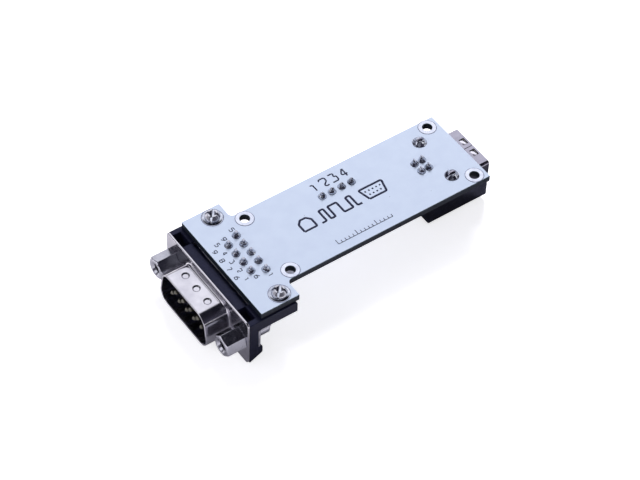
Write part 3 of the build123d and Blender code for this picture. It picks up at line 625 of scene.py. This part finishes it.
# %% [markdown]
# ## The white mask and the board's cut edges
#
# Solder mask covers only the two faces of the board. The routed edges and hole walls show the
# dark glass laminate, which is paler in a band just under the top. One material serves the plate:
# the direction of the face picks the mask or the laminate, and the depth below the top picks the
# band.

# %% Board finish
board_top = board_high.z
top_layer = 0.3 * MM
top_layer_share = 0.5
top_layer_colour = (92, 112, 116)
mask_grain = 0.0015 * MM


def make_board_finish():
    material = bpy.data.materials.new("white_mask_on_laminate")
    material.use_nodes = True
    tree = material.node_tree
    shader = tree.nodes["Principled BSDF"]
    mask = place_group(
        tree,
        mottle,
        Feature_Size=0.7 * MM,
        First_Colour=linear(210, 222, 245),
        Second_Colour=linear(206, 218, 242),
        First_Roughness=0.42,
        Second_Roughness=0.5,
    )
    laminate = place_group(
        tree,
        mottle,
        Feature_Size=0.12 * MM,
        First_Colour=linear(33, 40, 54),
        Second_Colour=linear(22, 28, 41),
        First_Roughness=0.6,
        Second_Roughness=0.8,
    )
    depth = math_node(tree, "SUBTRACT", board_top, split(tree, own_place(tree))["Z"])
    # The cut edges are mixed halfway to a paler colour just under the top
    layer = math_node(tree, "MULTIPLY", math_node(tree, "LESS_THAN", depth, top_layer), top_layer_share)
    normal = split(tree, add(tree, "ShaderNodeNewGeometry").outputs["Normal"])
    face = math_node(tree, "GREATER_THAN", math_node(tree, "ABSOLUTE", normal["Z"]), 0.5)
    edge_colour = mix(tree, layer, laminate["Colour"], linear(*top_layer_colour))
    colour = mix(tree, face, edge_colour, mask["Colour"])
    rough = mix(tree, face, laminate["Roughness"], mask["Roughness"], "FLOAT")
    tree.links.new(colour, shader.inputs["Base Color"])
    tree.links.new(rough, shader.inputs["Roughness"])
    bump = add(tree, "ShaderNodeBump", Strength=1.0, Distance=mask_grain, Height=mask["Height"])
    tree.links.new(bump.outputs[0], shader.inputs["Normal"])
    return material


finishes["board_mask"] = make_board_finish()
print("board top at", round(board_top / MM, 3), "mm")

# %% [markdown]
# ## Dressing the solids
#
# A CAD solid arrives as loose triangles with knife edges. A dressed copy joins its vertices, melts
# flat triangles into whole faces, shades round walls smoothly and rounds every real edge by a few
# hundredths of a millimetre, because an edge that catches light is what makes metal look like metal.

# %% Merged copies and placed pieces
joined_within = 0.001 * MM
flat_within = math.radians(0.5)


def merged(name, whole_faces=True):
    """A copy of a CAD node's mesh with its vertices joined and its flat faces made whole."""
    work = bmesh.new()
    work.from_mesh(nodes[name].data)
    bmesh.ops.remove_doubles(work, verts=work.verts, dist=joined_within)
    if whole_faces:
        bmesh.ops.dissolve_limit(work, angle_limit=flat_within, verts=work.verts, edges=work.edges)
    return work


def place_piece(name, mesh, material, slot, *replaced):
    """Link a finished mesh as a piece that rides on the root body and stands for CAD nodes."""
    piece = bpy.data.objects.new(name, mesh)
    bpy.context.scene.collection.objects.link(piece)
    mesh.materials.clear()
    mesh.materials.append(material)
    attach(piece, "root")
    if replaced:
        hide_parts(*replaced)
    return piece


trial = merged("serial_front_shell", False)
print("the front shell has", len(trial.verts), "vertices once they are joined")
trial.free()

# %% [markdown]
# The plug's shell has three dimples that grip the socket. A punch leaves a soft bowl, while the
# CAD has a plain cone. So the faces of each cone are taken out and the bowl is built in their
# place, ring by ring, from the mouth that stays. The edge of the mouth is kept sharp in the
# shading, and the flat top round it stays flat.

# %% Dimples
plug_lip = 1.0 * MM
dimple_x = cad_low.x + 3.4 * MM
dimple_pitch = 4.15 * MM
dimple_rows = (-dimple_pitch, 0.0, dimple_pitch)
dimple_mouth = 0.95 * MM
dimple_cad_depth = 0.41 * MM
dimple_floor = 0.56 * MM
dimple_drop = 0.17 * MM
dimple_rings = 7
mouth_tolerance = 0.04 * MM
top_tolerance = 0.005 * MM
cone_margin = 0.01 * MM


def plug_top(places):
    """Height of the plug's top, taken at its lip, where no dimple is."""
    return max(place.z for place in places if place.x < cad_low.x + plug_lip)


def on_dimple_mouth(point, top):
    """Whether a point lies on the mouth of a dimple."""
    on_top = point.z > top - top_tolerance
    gaps = [abs(Vector((point.x - dimple_x, point.y - y)).length - dimple_mouth) for y in dimple_rows]
    return on_top and min(gaps) < mouth_tolerance


def press_dimples(work):
    """Rebuild each dimple of the drawn shell as a soft bowl, ring by ring from its mouth inwards."""
    top = plug_top([v.co for v in work.verts])
    for y in dimple_rows:
        centre = Vector((dimple_x, y, 0.0))
        around = [v for v in work.verts if abs(v.co.y - y) < dimple_pitch / 2]
        mouth = [v for v in around if on_dimple_mouth(v.co, top)]
        mouth.sort(key=lambda v: math.atan2(v.co.y - centre.y, v.co.x - centre.x))
        inside = {v for v in around if v.co.z > top - dimple_cad_depth}
        inside = {v for v in inside if (v.co - centre).to_2d().length < dimple_mouth + cone_margin}
        cone = [face for face in work.faces if inside.issuperset(face.verts)]
        bmesh.ops.delete(work, geom=cone, context="FACES")
        print("dimple mouth points:", len(mouth), "faces of the cone taken out:", len(cone))
        outer = mouth
        for step in range(1, dimple_rings + 1):
            # An S-shaped slope, level at the mouth and at the floor
            share = step / dimple_rings
            radius = dimple_mouth + (dimple_floor - dimple_mouth) * share
            depth = dimple_drop * share * share * (3 - 2 * share)
            inner = []
            for vertex in mouth:
                toward = (vertex.co - centre).to_2d().normalized() * radius
                inner.append(work.verts.new((centre.x + toward.x, centre.y + toward.y, top - depth)))
            for i in range(len(mouth)):
                work.faces.new((outer[i - 1], outer[i], inner[i], inner[i - 1]))
            outer = inner
        work.faces.new(outer)


def crease_mouths(mesh):
    """Keep the flat top flat in its shading, up to the mouth of each dimple."""
    top = plug_top([v.co for v in mesh.vertices])
    for edge in mesh.edges:
        if all(on_dimple_mouth(mesh.vertices[i].co, top) for i in edge.vertices):
            edge.use_edge_sharp = True


print("dimples at", [(round(dimple_x / MM, 2), round(y / MM, 2)) for y in dimple_rows], "mm")

# %% [markdown]
# The Bevel modifier rounds only edges where two faces meet at more than 40 degrees, so round walls
# keep their form, and Weighted Normal lets large flat faces stay flat in their shading. The radius
# follows the real piece: wide on mouldings and drawn sheet, and hardly any on contacts. The board
# gets none: a routed edge is sharp, and a whole face with holes folds when its edges are rounded.
# For that reason the two metal shells also keep the triangles of the CAD.

# %% Dress the connectors, the fasteners and the small parts
bevel_from = math.radians(40)
smooth_below = math.radians(32)
plain_edge = 0.03
keep_triangles = ("serial_front_shell", "usb_shell")
own_finish = {"usb_shell": "usb_nickel", **{f"serial_contact_{i}": "worn_gold" for i in range(1, 10)}}
generated = {"serial_pin_solder", "usb_pin_solder", "header_solder", "usb_leg_solder", "boardlock_solder"}

# Radius of the rounded edges in millimetres, where it isn't the plain one
edge_radius = {
    "circuit_board": 0,
    "serial_front_shell": 0.12,
    "serial_insulator": 0.08,
    "serial_bracket_left": 0.12,
    "serial_bracket_right": 0.12,
    "ground_strap_left": 0.06,
    "ground_strap_right": 0.06,
    "screwlock_left": 0.08,
    "screwlock_right": 0.08,
    "clinch_nut_left": 0.06,
    "clinch_nut_right": 0.06,
    "usb_shell": 0.04,
    "usb_body": 0.06,
    "boardlock_left": 0.05,
    "boardlock_right": 0.05,
    "mounting_rings": 0.02,
    "header_base": 0.08,
    "bridge_chip": 0.06,
    "driver_chip": 0.06,
    "driver_chip_leads": 0.04,
    "lamp_lenses": 0.08,
}


def dress(name, edge):
    """Replace a CAD node by its dressed copy, in the finish of the node's own slot."""
    work = merged(name, name not in keep_triangles)
    has_dimples = name == "serial_front_shell"
    if has_dimples:
        press_dimples(work)
    mesh = bpy.data.meshes.new(name + "_dressed")
    work.to_mesh(mesh)
    work.free()
    mesh.shade_smooth()
    mesh.set_sharp_from_angle(angle=smooth_below)
    if has_dimples:
        crease_mouths(mesh)
    slot = slot_of[name]
    piece = place_piece(name + "_dressed", mesh, finishes[own_finish.get(name, slot)], slot, name)
    if edge:
        bevel = piece.modifiers.new("rounded_edges", "BEVEL")
        bevel.width = edge * MM
        bevel.segments = 2
        bevel.limit_method = "ANGLE"
        bevel.angle_limit = bevel_from
        bevel.use_clamp_overlap = False
        bevel.loop_slide = False
    weighted = piece.modifiers.new("flat_faces_stay_flat", "WEIGHTED_NORMAL")
    weighted.keep_sharp = True


to_dress = [name for name in sorted(nodes) if name not in generated]
for name in to_dress:
    dress(name, edge_radius.get(name, plain_edge))
print("dressed:", len(to_dress))

# %% [markdown]
# ## Solder joints
#
# The places of the joints are read from the CAD solder. Each node holds several solids, so a walk
# over linked vertices takes them apart, and the box of each gives the middle and the width of one
# joint. A change of pitch in the model then moves the drops with it.


# %% Places of the joints
def solids_of(name):
    """Lowest and highest corner of each separate solid in a CAD node."""
    work = merged(name)
    left = set(work.verts)
    boxes = []
    while left:
        solid = set()
        to_visit = [left.pop()]
        while to_visit:
            vertex = to_visit.pop()
            solid.add(vertex)
            near = {link.other_vert(vertex) for link in vertex.link_edges} & left
            left -= near
            to_visit.extend(near)
        low = Vector([min(v.co[i] for v in solid) for i in range(3)])
        high = Vector([max(v.co[i] for v in solid) for i in range(3)])
        boxes.append((low, high))
    work.free()
    return sorted(boxes, key=lambda box: (round(box[0].x, 5), round(box[0].y, 5)))


joint_boxes = {name: solids_of(name) for name in sorted(generated)}
print("joints:", {name: len(boxes) for name, boxes in joint_boxes.items()})

# %% [markdown]
# A joint is a drop of metal: a foot that wets the land, a hollow flank and a dome over the lead.
# All of them are one revolved profile, so Geometry Nodes fit. The tree bends a flat grid round an
# axis, puts a copy on every joint's place, turns each copy and lets a noise push it a little out
# of true. Three profiles run from the foot to the top of the drop: how far it spreads past its
# neck, where it closes to a point, and how high it has risen.

# %% Tree: solder joint
joint_sides = 36
joint_rings = 25
wobble_size = 1.6 * MM
wobble_from, wobble_full = 0.02 * MM, 0.3 * MM
spread_profile = [
    (0, 1),
    (0.12, 1),
    (0.2, 0.92),
    (0.32, 0.8),
    (0.44, 0.62),
    (0.56, 0.38),
    (0.7, 0.12),
    (1, 0),
]
closing_profile = [(0, 0), (0.06, 1), (0.74, 1), (0.84, 0.86), (0.93, 0.5), (1, 0)]
rising_profile = [
    (0, 0),
    (0.06, 0),
    (0.12, 0.04),
    (0.22, 0.06),
    (0.34, 0.2),
    (0.46, 0.4),
    (0.58, 0.62),
    (0.7, 0.8),
    (0.84, 0.95),
    (1, 1),
]


def follow_profile(tree, step, points):
    """The value of a smooth profile through these points, at each step from foot to top."""
    node = add(tree, "ShaderNodeFloatCurve", Value=step)
    curve = node.mapping.curves[0]
    while len(curve.points) > 2:
        curve.points.remove(curve.points[1])
    curve.points[0].location = points[0]
    curve.points[1].location = points[-1]
    for point in points[1:-1]:
        curve.points.new(*point)
    for point in curve.points:
        point.handle_type = "AUTO_CLAMPED"
    node.mapping.update()
    return node.outputs[0]


def build_joint_tree():
    tree, given, out = make_tree(
        "solder_joint",
        "GeometryNodeTree",
        [
            ("Geometry", "NodeSocketGeometry", None),
            ("Foot Radius", "NodeSocketFloat", 0.9 * MM),
            ("Neck Radius", "NodeSocketFloat", 0.4 * MM),
            ("Height", "NodeSocketFloat", 1.0 * MM),
            ("Wobble", "NodeSocketFloat", 0.06 * MM),
            ("Seed", "NodeSocketInt", 3),
            ("Finish", "NodeSocketMaterial", None),
        ],
        [("Geometry", "NodeSocketGeometry")],
    )
    tree.is_modifier = True

    # One drop: X of the grid becomes the angle round the axis, and Y the step along the profiles
    grid = add(
        tree,
        "GeometryNodeMeshGrid",
        Size_X=2 * math.pi,
        Size_Y=1.0,
        Vertices_X=joint_sides + 1,
        Vertices_Y=joint_rings + 1,
    )
    flat = split(tree, add(tree, "GeometryNodeInputPosition").outputs[0])
    step = math_node(tree, "ADD", flat["Y"], 0.5)
    past_neck = math_node(tree, "SUBTRACT", given["Foot Radius"], given["Neck Radius"])
    spread = follow_profile(tree, step, spread_profile)
    radius = math_node(tree, "MULTIPLY_ADD", past_neck, spread, given["Neck Radius"])
    radius = math_node(tree, "MULTIPLY", radius, follow_profile(tree, step, closing_profile))
    bent = add(
        tree,
        "ShaderNodeCombineXYZ",
        X=math_node(tree, "MULTIPLY", radius, math_node(tree, "COSINE", flat["X"])),
        Y=math_node(tree, "MULTIPLY", radius, math_node(tree, "SINE", flat["X"])),
        Z=math_node(tree, "MULTIPLY", given["Height"], follow_profile(tree, step, rising_profile)),
    )
    drop = add(tree, "GeometryNodeSetPosition", Geometry=grid.outputs["Mesh"], Position=bent.outputs[0])
    drop = add(tree, "GeometryNodeMergeByDistance", Geometry=drop.outputs[0], Distance=0.002 * MM)

    # A copy on every point, each turned by a random angle
    spin = add(tree, "FunctionNodeRandomValue", {"data_type": "FLOAT"}, Seed=given["Seed"])
    spin.inputs[3].default_value = 2 * math.pi
    copies = add(
        tree,
        "GeometryNodeInstanceOnPoints",
        Points=given["Geometry"],
        Instance=drop.outputs[0],
        Rotation=add(tree, "ShaderNodeCombineXYZ", Z=spin.outputs[1]).outputs[0],
    )
    real = add(tree, "GeometryNodeRealizeInstances", Geometry=copies.outputs[0])

    # A noise pushes the metal about, but not at the foot, which stays on its land
    where = add(tree, "GeometryNodeInputPosition").outputs[0]
    noise = add(tree, "ShaderNodeTexNoise", Vector=where, Scale=1 / wobble_size, Detail=1.0)
    centred = add(tree, "ShaderNodeVectorMath", {"operation": "SUBTRACT"})
    tree.links.new(noise.outputs["Color"], centred.inputs[0])
    centred.inputs[1].default_value = (0.5, 0.5, 0.5)
    above = math_node(tree, "SUBTRACT", split(tree, where)["Z"], board_top)
    free = fade(tree, above, wobble_from, wobble_full)
    push = add(tree, "ShaderNodeVectorMath", {"operation": "SCALE"}, Vector=centred.outputs[0])
    tree.links.new(math_node(tree, "MULTIPLY", free, given["Wobble"]), push.inputs["Scale"])
    moved = add(tree, "GeometryNodeSetPosition", Geometry=real.outputs[0], Offset=push.outputs[0])
    smooth = add(tree, "GeometryNodeSetShadeSmooth", Geometry=moved.outputs[0])
    done = add(tree, "GeometryNodeSetMaterial", Geometry=smooth.outputs[0], Material=given["Finish"])
    tree.links.new(done.outputs[0], out["Geometry"])
    return tree


joint_tree = build_joint_tree()
print("joint tree has", len(joint_tree.nodes), "nodes")

# %% [markdown]
# A tree runs as a modifier on a carrier mesh that holds only points or paths. Its inputs are set by
# the identifiers of their sockets, the result is copied to a plain mesh, and the carrier goes. The
# seam and the tip of each drop are then closed, and its faces are turned outwards.

# %% Run a tree and keep its mesh
closed_within = 0.0002 * MM


def points_mesh(name, points, edges=()):
    """A carrier mesh of loose points, joined into paths by edges."""
    mesh = bpy.data.meshes.new(name)
    mesh.from_pydata([tuple(point) for point in points], list(edges), [])
    return mesh


def generate(name, carrier, tree, material, slot, values, *replaced):
    """Run a tree on a carrier mesh and keep what it makes as a plain piece."""
    maker = bpy.data.objects.new(name + "_maker", carrier)
    bpy.context.scene.collection.objects.link(maker)
    modifier = maker.modifiers.new("tree", "NODES")
    modifier.node_group = tree
    sockets = {item.name: item.identifier for item in tree.interface.items_tree if item.in_out == "INPUT"}
    for label, value in values.items():
        modifier[sockets[label]] = value
    bpy.context.view_layer.update()
    evaluated = maker.evaluated_get(bpy.context.evaluated_depsgraph_get())
    mesh = bpy.data.meshes.new_from_object(evaluated)
    mesh.name = name
    bpy.data.objects.remove(maker)
    work = bmesh.new()
    work.from_mesh(mesh)
    bmesh.ops.remove_doubles(work, verts=work.verts, dist=closed_within)
    bmesh.ops.recalc_face_normals(work, faces=work.faces)
    work.to_mesh(mesh)
    work.free()
    place_piece(name, mesh, material, slot, *replaced)
    low = [round(min(v.co[i] for v in mesh.vertices) / MM, 2) for i in range(3)]
    high = [round(max(v.co[i] for v in mesh.vertices) / MM, 2) for i in range(3)]
    print(name, "faces:", len(mesh.polygons), "from", low, "to", high, "mm")


joint_inputs = [item.name for item in joint_tree.interface.items_tree if item.in_out == "INPUT"]
print("inputs of the joint tree:", ", ".join(joint_inputs))

# %% [markdown]
# The joints come in five kinds. The thin leads have steep drops, the legs of the receptacle wide
# ones, and each boardlock a low collar from which its prongs stand up. Every kind has a seed of its
# own, so its drops are turned in their own way.

# %% Make the joints
# How far the foot stays inside the CAD cone, the neck's radius, the height and the wobble, all in
# millimetres, and the seed
joint_sizes = {
    "serial_pin_solder": (0.0, 0.42, 0.9, 0.4, 3),
    "usb_pin_solder": (0.0, 0.46, 0.9, 0.32, 5),
    "header_solder": (0.0, 0.44, 0.9, 0.4, 8),
    "usb_leg_solder": (0.0, 0.8, 0.9, 0.6, 11),
    "boardlock_solder": (0.12, 1.3, 0.24, 0.2, 21),
}
for name, (margin, neck, height, wobble, seed) in joint_sizes.items():
    boxes = joint_boxes[name]
    places = [((low.x + high.x) / 2, (low.y + high.y) / 2, board_top) for low, high in boxes]
    values = {
        "Foot Radius": (boxes[0][1].x - boxes[0][0].x) / 2 - margin * MM,
        "Neck Radius": neck * MM,
        "Height": height * MM,
        "Wobble": wobble * MM,
        "Seed": seed,
        "Finish": finishes["solder"],
    }
    carrier = points_mesh(name, places)
    generate(name + "_drops", carrier, joint_tree, finishes["solder"], "solder", values, name)

# %% [markdown]
# ## Printing
#
# The printed marks are pen strokes of even width. Their paths are short lists of points in the
# plane of the board, and one Geometry Nodes tree turns paths into flat ink: it rounds the corners,
# sweeps a low rectangle along each path and closes the ends. The marks are plain ones: pin
# numbers, a rule in millimetres, and a strip that shows a socket, a pulse train and a nine-pin plug.

# %% Tree: ink strokes
corner_steps = 5


def build_ink_tree():
    tree, given, out = make_tree(
        "ink_strokes",
        "GeometryNodeTree",
        [
            ("Geometry", "NodeSocketGeometry", None),
            ("Stroke Width", "NodeSocketFloat", 0.3 * MM),
            ("Ink Height", "NodeSocketFloat", 0.02 * MM),
            ("Corner Radius", "NodeSocketFloat", 0.3 * MM),
            ("Ink", "NodeSocketMaterial", None),
        ],
        [("Geometry", "NodeSocketGeometry")],
    )
    tree.is_modifier = True
    paths = add(tree, "GeometryNodeMeshToCurve", Mesh=given["Geometry"])
    rounded = add(
        tree,
        "GeometryNodeFilletCurve",
        {"mode": "POLY"},
        Curve=paths.outputs[0],
        Count=corner_steps,
        Radius=given["Corner Radius"],
        Limit_Radius=True,
    )
    level = add(tree, "GeometryNodeSetCurveNormal", {"mode": "Z_UP"}, Curve=rounded.outputs[0])
    nib = add(
        tree,
        "GeometryNodeCurvePrimitiveQuadrilateral",
        Width=given["Stroke Width"],
        Height=given["Ink Height"],
    )
    swept = add(
        tree,
        "GeometryNodeCurveToMesh",
        Curve=level.outputs[0],
        Profile_Curve=nib.outputs[0],
        Fill_Caps=True,
    )
    real = add(tree, "GeometryNodeRealizeInstances", Geometry=swept.outputs[0])
    done = add(tree, "GeometryNodeSetMaterial", Geometry=real.outputs[0], Material=given["Ink"])
    tree.links.new(done.outputs[0], out["Geometry"])
    return tree


ink_tree = build_ink_tree()
ink = make_finish("navy_ink", (25, 29, 58), (32, 38, 68), (0.45, 0.6), 0.12, 1.5)
print("ink tree has", len(ink_tree.nodes), "nodes")

# %% [markdown]
# A digit is drawn as in technical lettering, in one or two strokes on a grid of two by three
# units, so that a pen of any width can follow it.

# %% Paths of the digits
digit_width, digit_height = 2.0, 3.0
digit_paths = {
    "1": [[(0.3, 2.3), (1.1, 3), (1.1, 0)]],
    "2": [[(0, 2.4), (0, 3), (2, 3), (2, 1.6), (0, 0), (2, 0)]],
    "3": [[(0, 3), (2, 3), (0.9, 1.7), (2, 1.7), (2, 0), (0, 0)]],
    "4": [[(1.5, 0), (1.5, 3)], [(1.35, 3), (0, 0.9), (2.1, 0.9)]],
    "5": [[(1.9, 3), (0, 3), (0, 1.7), (2, 1.7), (2, 0), (0, 0)]],
    "6": [[(1.7, 3), (0, 1.7), (0, 0), (2, 0), (2, 1.6), (0.1, 1.6)]],
    "7": [[(0, 3), (2, 3), (0.7, 0)]],
    "8": [[(1, 1.5), (0, 1.5), (0, 3), (2, 3), (2, 1.5), (0, 1.5), (0, 0), (2, 0), (2, 1.5), (1, 1.5)]],
    "9": [[(0.3, 0), (2, 1.3), (2, 3), (0, 3), (0, 1.4), (1.9, 1.4)]],
}


def write_digit(digit, x, y, height, turned=0.0):
    """Stroke paths of a digit whose middle lies at x, y in millimetres, turned by degrees."""
    unit = height / digit_height
    across = Matrix.Rotation(math.radians(turned), 2)
    paths = []
    for path in digit_paths[digit]:
        moved = []
        for right, up in path:
            offset = across @ Vector(((right - digit_width / 2) * unit, (up - digit_height / 2) * unit))
            moved.append((x + offset.x, y + offset.y))
        paths.append(moved)
    return paths


print("digits drawn:", len(digit_paths))

# %% [markdown]
# Ink lies on the mask as a layer of about 0.015 mm. Where two strokes cross at one height their
# faces coincide and flicker, so every point of a path lies a trace higher than the one before it.

# %% Print paths as ink
stroke_rise = 0.0012
ink_height = 0.015


def print_marks(name, paths, stroke, corner, colour=ink):
    """Print paths as flat ink, with the stroke's width and the corners' radius in millimetres."""
    points, edges = [], []
    for path in paths:
        start = len(points)
        for i, (x, y) in enumerate(path):
            points.append((x * MM, y * MM, board_top + (ink_height / 2 + i * stroke_rise) * MM))
        edges += [(start + i, start + i + 1) for i in range(len(path) - 1)]
    values = {
        "Stroke Width": stroke * MM,
        "Ink Height": ink_height * MM,
        "Corner Radius": corner * MM,
        "Ink": colour,
    }
    generate(name, points_mesh(name, points, edges), ink_tree, colour, "board_mask", values)


print("ink height:", ink_height, "mm")

# %% [markdown]
# The ends of both contact rows are numbered, and so is every pin of the header. How far along the
# board a number lies is read from the solder joints, so it stays level with its pins.


# %% Pin numbers and header numbers
def middle_in_mm(low, high):
    """The middle of a box in the plane of the board, in millimetres."""
    return (low.x + high.x) / 2 / MM, (low.y + high.y) / 2 / MM


across_board = -90
pin_digit, header_digit = 1.1, 2.3
row_x = sorted({round(middle_in_mm(low, high)[0], 2) for low, high in joint_boxes["serial_pin_solder"]})
near_x, far_x = row_x[0], row_x[-1]
end_numbers = [
    ("5", far_x + 0.1, 7.4),
    ("1", far_x + 0.1, -7.3),
    ("9", near_x + 0.1, 6.1),
    ("6", near_x + 0.2, -6.1),
]
pin_numbers = []
for digit, x, y in end_numbers:
    pin_numbers += write_digit(digit, x, y, pin_digit, across_board)
print_marks("pin_numbers", pin_numbers, stroke=0.18, corner=0.16)

header_number_y = 7.7
header_numbers = []
for i, (low, high) in enumerate(joint_boxes["header_solder"]):
    x, _ = middle_in_mm(low, high)
    header_numbers += write_digit(str(i + 1), x, header_number_y, header_digit)
print_marks("header_numbers", header_numbers, stroke=0.34, corner=0.35)

# %% [markdown]
# A rule near the long edge shows the scale. Its ticks stand one millimetre apart, and every fifth
# of them is longer.

# %% Rule in millimetres
rule_start, rule_y = -4.1, -8.3
rule_marks, marks_to_long = 15, 5
long_tick, short_tick = 1.3, 0.7

rule = []
for i in range(rule_marks):
    length = long_tick if i % marks_to_long == 0 else short_tick
    x = rule_start + i
    rule.append([(x, rule_y), (x, rule_y + length)])
rule.append([(rule_start, rule_y), (rule_start + rule_marks - 1, rule_y)])
print_marks("millimetre_rule", rule, stroke=0.16, corner=0.05)

# %% [markdown]
# Beside the edge of the board the contacts of both rows are numbered once more, at the pitch of
# the contacts. The two lines are staggered, as the rows of the plug are.

# %% Legend beside the pins
contact_pitch = 2.77
legend_height = 1.05

# The highest number of a line, the count of its numbers, and how far in from the edge it lies
legend_lines = [(5, 5, 2.75), (9, 4, 1.2)]

legend = []
for highest, count, inset in legend_lines:
    for i in range(count):
        y = ((count - 1) / 2 - i) * contact_pitch
        legend += write_digit(str(highest - i), board_low.x / MM + inset, y, legend_height, across_board)
print_marks("row_legend", legend, stroke=0.18, corner=0.16)

# %% [markdown]
# A strip of plain signs along the middle tells what the board does: the outline of a square
# socket with two cut corners, a train of pulses, and the outline of a nine-pin plug. An outline
# stops a trace short of its start, so that the two ends of its stroke don't lie in one place.

# %% Strip of signs
strip_x, strip_y, strip_height = -8.1, -1.6, 3.2
socket_side = 3.2
socket_corner, socket_shoulder = 0.28, 0.7
wave_gap, wave_step = 1.3, 1.15
levels = [0, 1, 0, 1, 1, 0, 0, 1, 0]
plug_gap, plug_width, plug_slant = 1.2, 6.0, 0.8

cut_from = socket_side * socket_shoulder
socket_sign = [
    (strip_x, strip_y),
    (strip_x + socket_side, strip_y),
    (strip_x + socket_side, strip_y + cut_from),
    (strip_x + socket_side * (1 - socket_corner), strip_y + socket_side),
    (strip_x + socket_side * socket_corner, strip_y + socket_side),
    (strip_x, strip_y + cut_from),
    (strip_x, strip_y + 0.02),
]

wave_x = strip_x + socket_side + wave_gap
wave_end = wave_x + len(levels) * wave_step
wave = [(wave_x, strip_y)]
for i, (level, following) in enumerate(zip(levels, levels[1:])):
    if following != level:
        step_x = wave_x + (i + 1) * wave_step
        wave += [(step_x, strip_y + level * strip_height), (step_x, strip_y + following * strip_height)]
wave.append((wave_end, strip_y))

plug_x = wave_end + plug_gap
plug_sign = [
    (plug_x + plug_slant, strip_y),
    (plug_x + plug_width - plug_slant, strip_y),
    (plug_x + plug_width, strip_y + strip_height),
    (plug_x, strip_y + strip_height),
    (plug_x + plug_slant - 0.02, strip_y + 0.05),
]
print_marks("strip_of_signs", [socket_sign, wave, plug_sign], stroke=0.5, corner=0.3)

# %% [markdown]
# The nine contacts of that plug are dots in two rows. A dot is a stroke that is about as short as
# its pen is wide, so the same tree makes it.

# %% Contacts in the plug sign
dot_pitch, dot_row_pitch = 0.95, 1.1
dot_first_row = 1.05
dot_half = 0.18

dots = []
for row, count in enumerate((4, 5)):
    for i in range(count):
        x = plug_x + plug_width / 2 + (i - (count - 1) / 2) * dot_pitch
        y = strip_y + dot_first_row + row * dot_row_pitch
        dots.append([(x - dot_half, y), (x + dot_half, y)])
print_marks("strip_dots", dots, stroke=0.4, corner=0.02)

# %% [markdown]
# The mask stops a little short of each bare ring, and the slit between them shows as a thin dark
# circle. The same tree draws these circles. It also draws three vias, which the mask covers, as
# small dots.

# %% Circles round the bare rings
circle_steps = 24
covered_vias = [(-5.57, 2.2), (21.0, -7.0), (12.6, -3.4)]
via_half = 0.06

# The slit lies outside a mounting ring, and round a boardlock between the drop and its CAD cone
slit_offset = {"mounting_rings": 0.06, "boardlock_solder": -0.06}


def circle_path(x, y, radius):
    """A closed ring of points. Its last point falls on its first one."""
    angles = [i * (2 * math.pi / circle_steps) for i in range(circle_steps + 1)]
    return [(x + radius * math.cos(angle), y + radius * math.sin(angle)) for angle in angles]


slit = make_finish("mask_slit", (112, 116, 146), (96, 100, 130), (0.6, 0.7), 0.15, 1.0)
slits = []
for name, offset in slit_offset.items():
    for low, high in solids_of(name):
        x, y = middle_in_mm(low, high)
        slits.append(circle_path(x, y, (high.x - low.x) / 2 / MM + offset))
slits += [[(x - via_half, y), (x + via_half, y)] for x, y in covered_vias]
print_marks("mask_slits", slits, stroke=0.11, corner=0.01, colour=slit)

# %% Print how far the scene reaches past the model's box, and finish
low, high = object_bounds()
grown = [[round(v / MM, 3) for v in side] for side in (cad_low - low, high - cad_high)]
print("grown by, in mm:", grown)
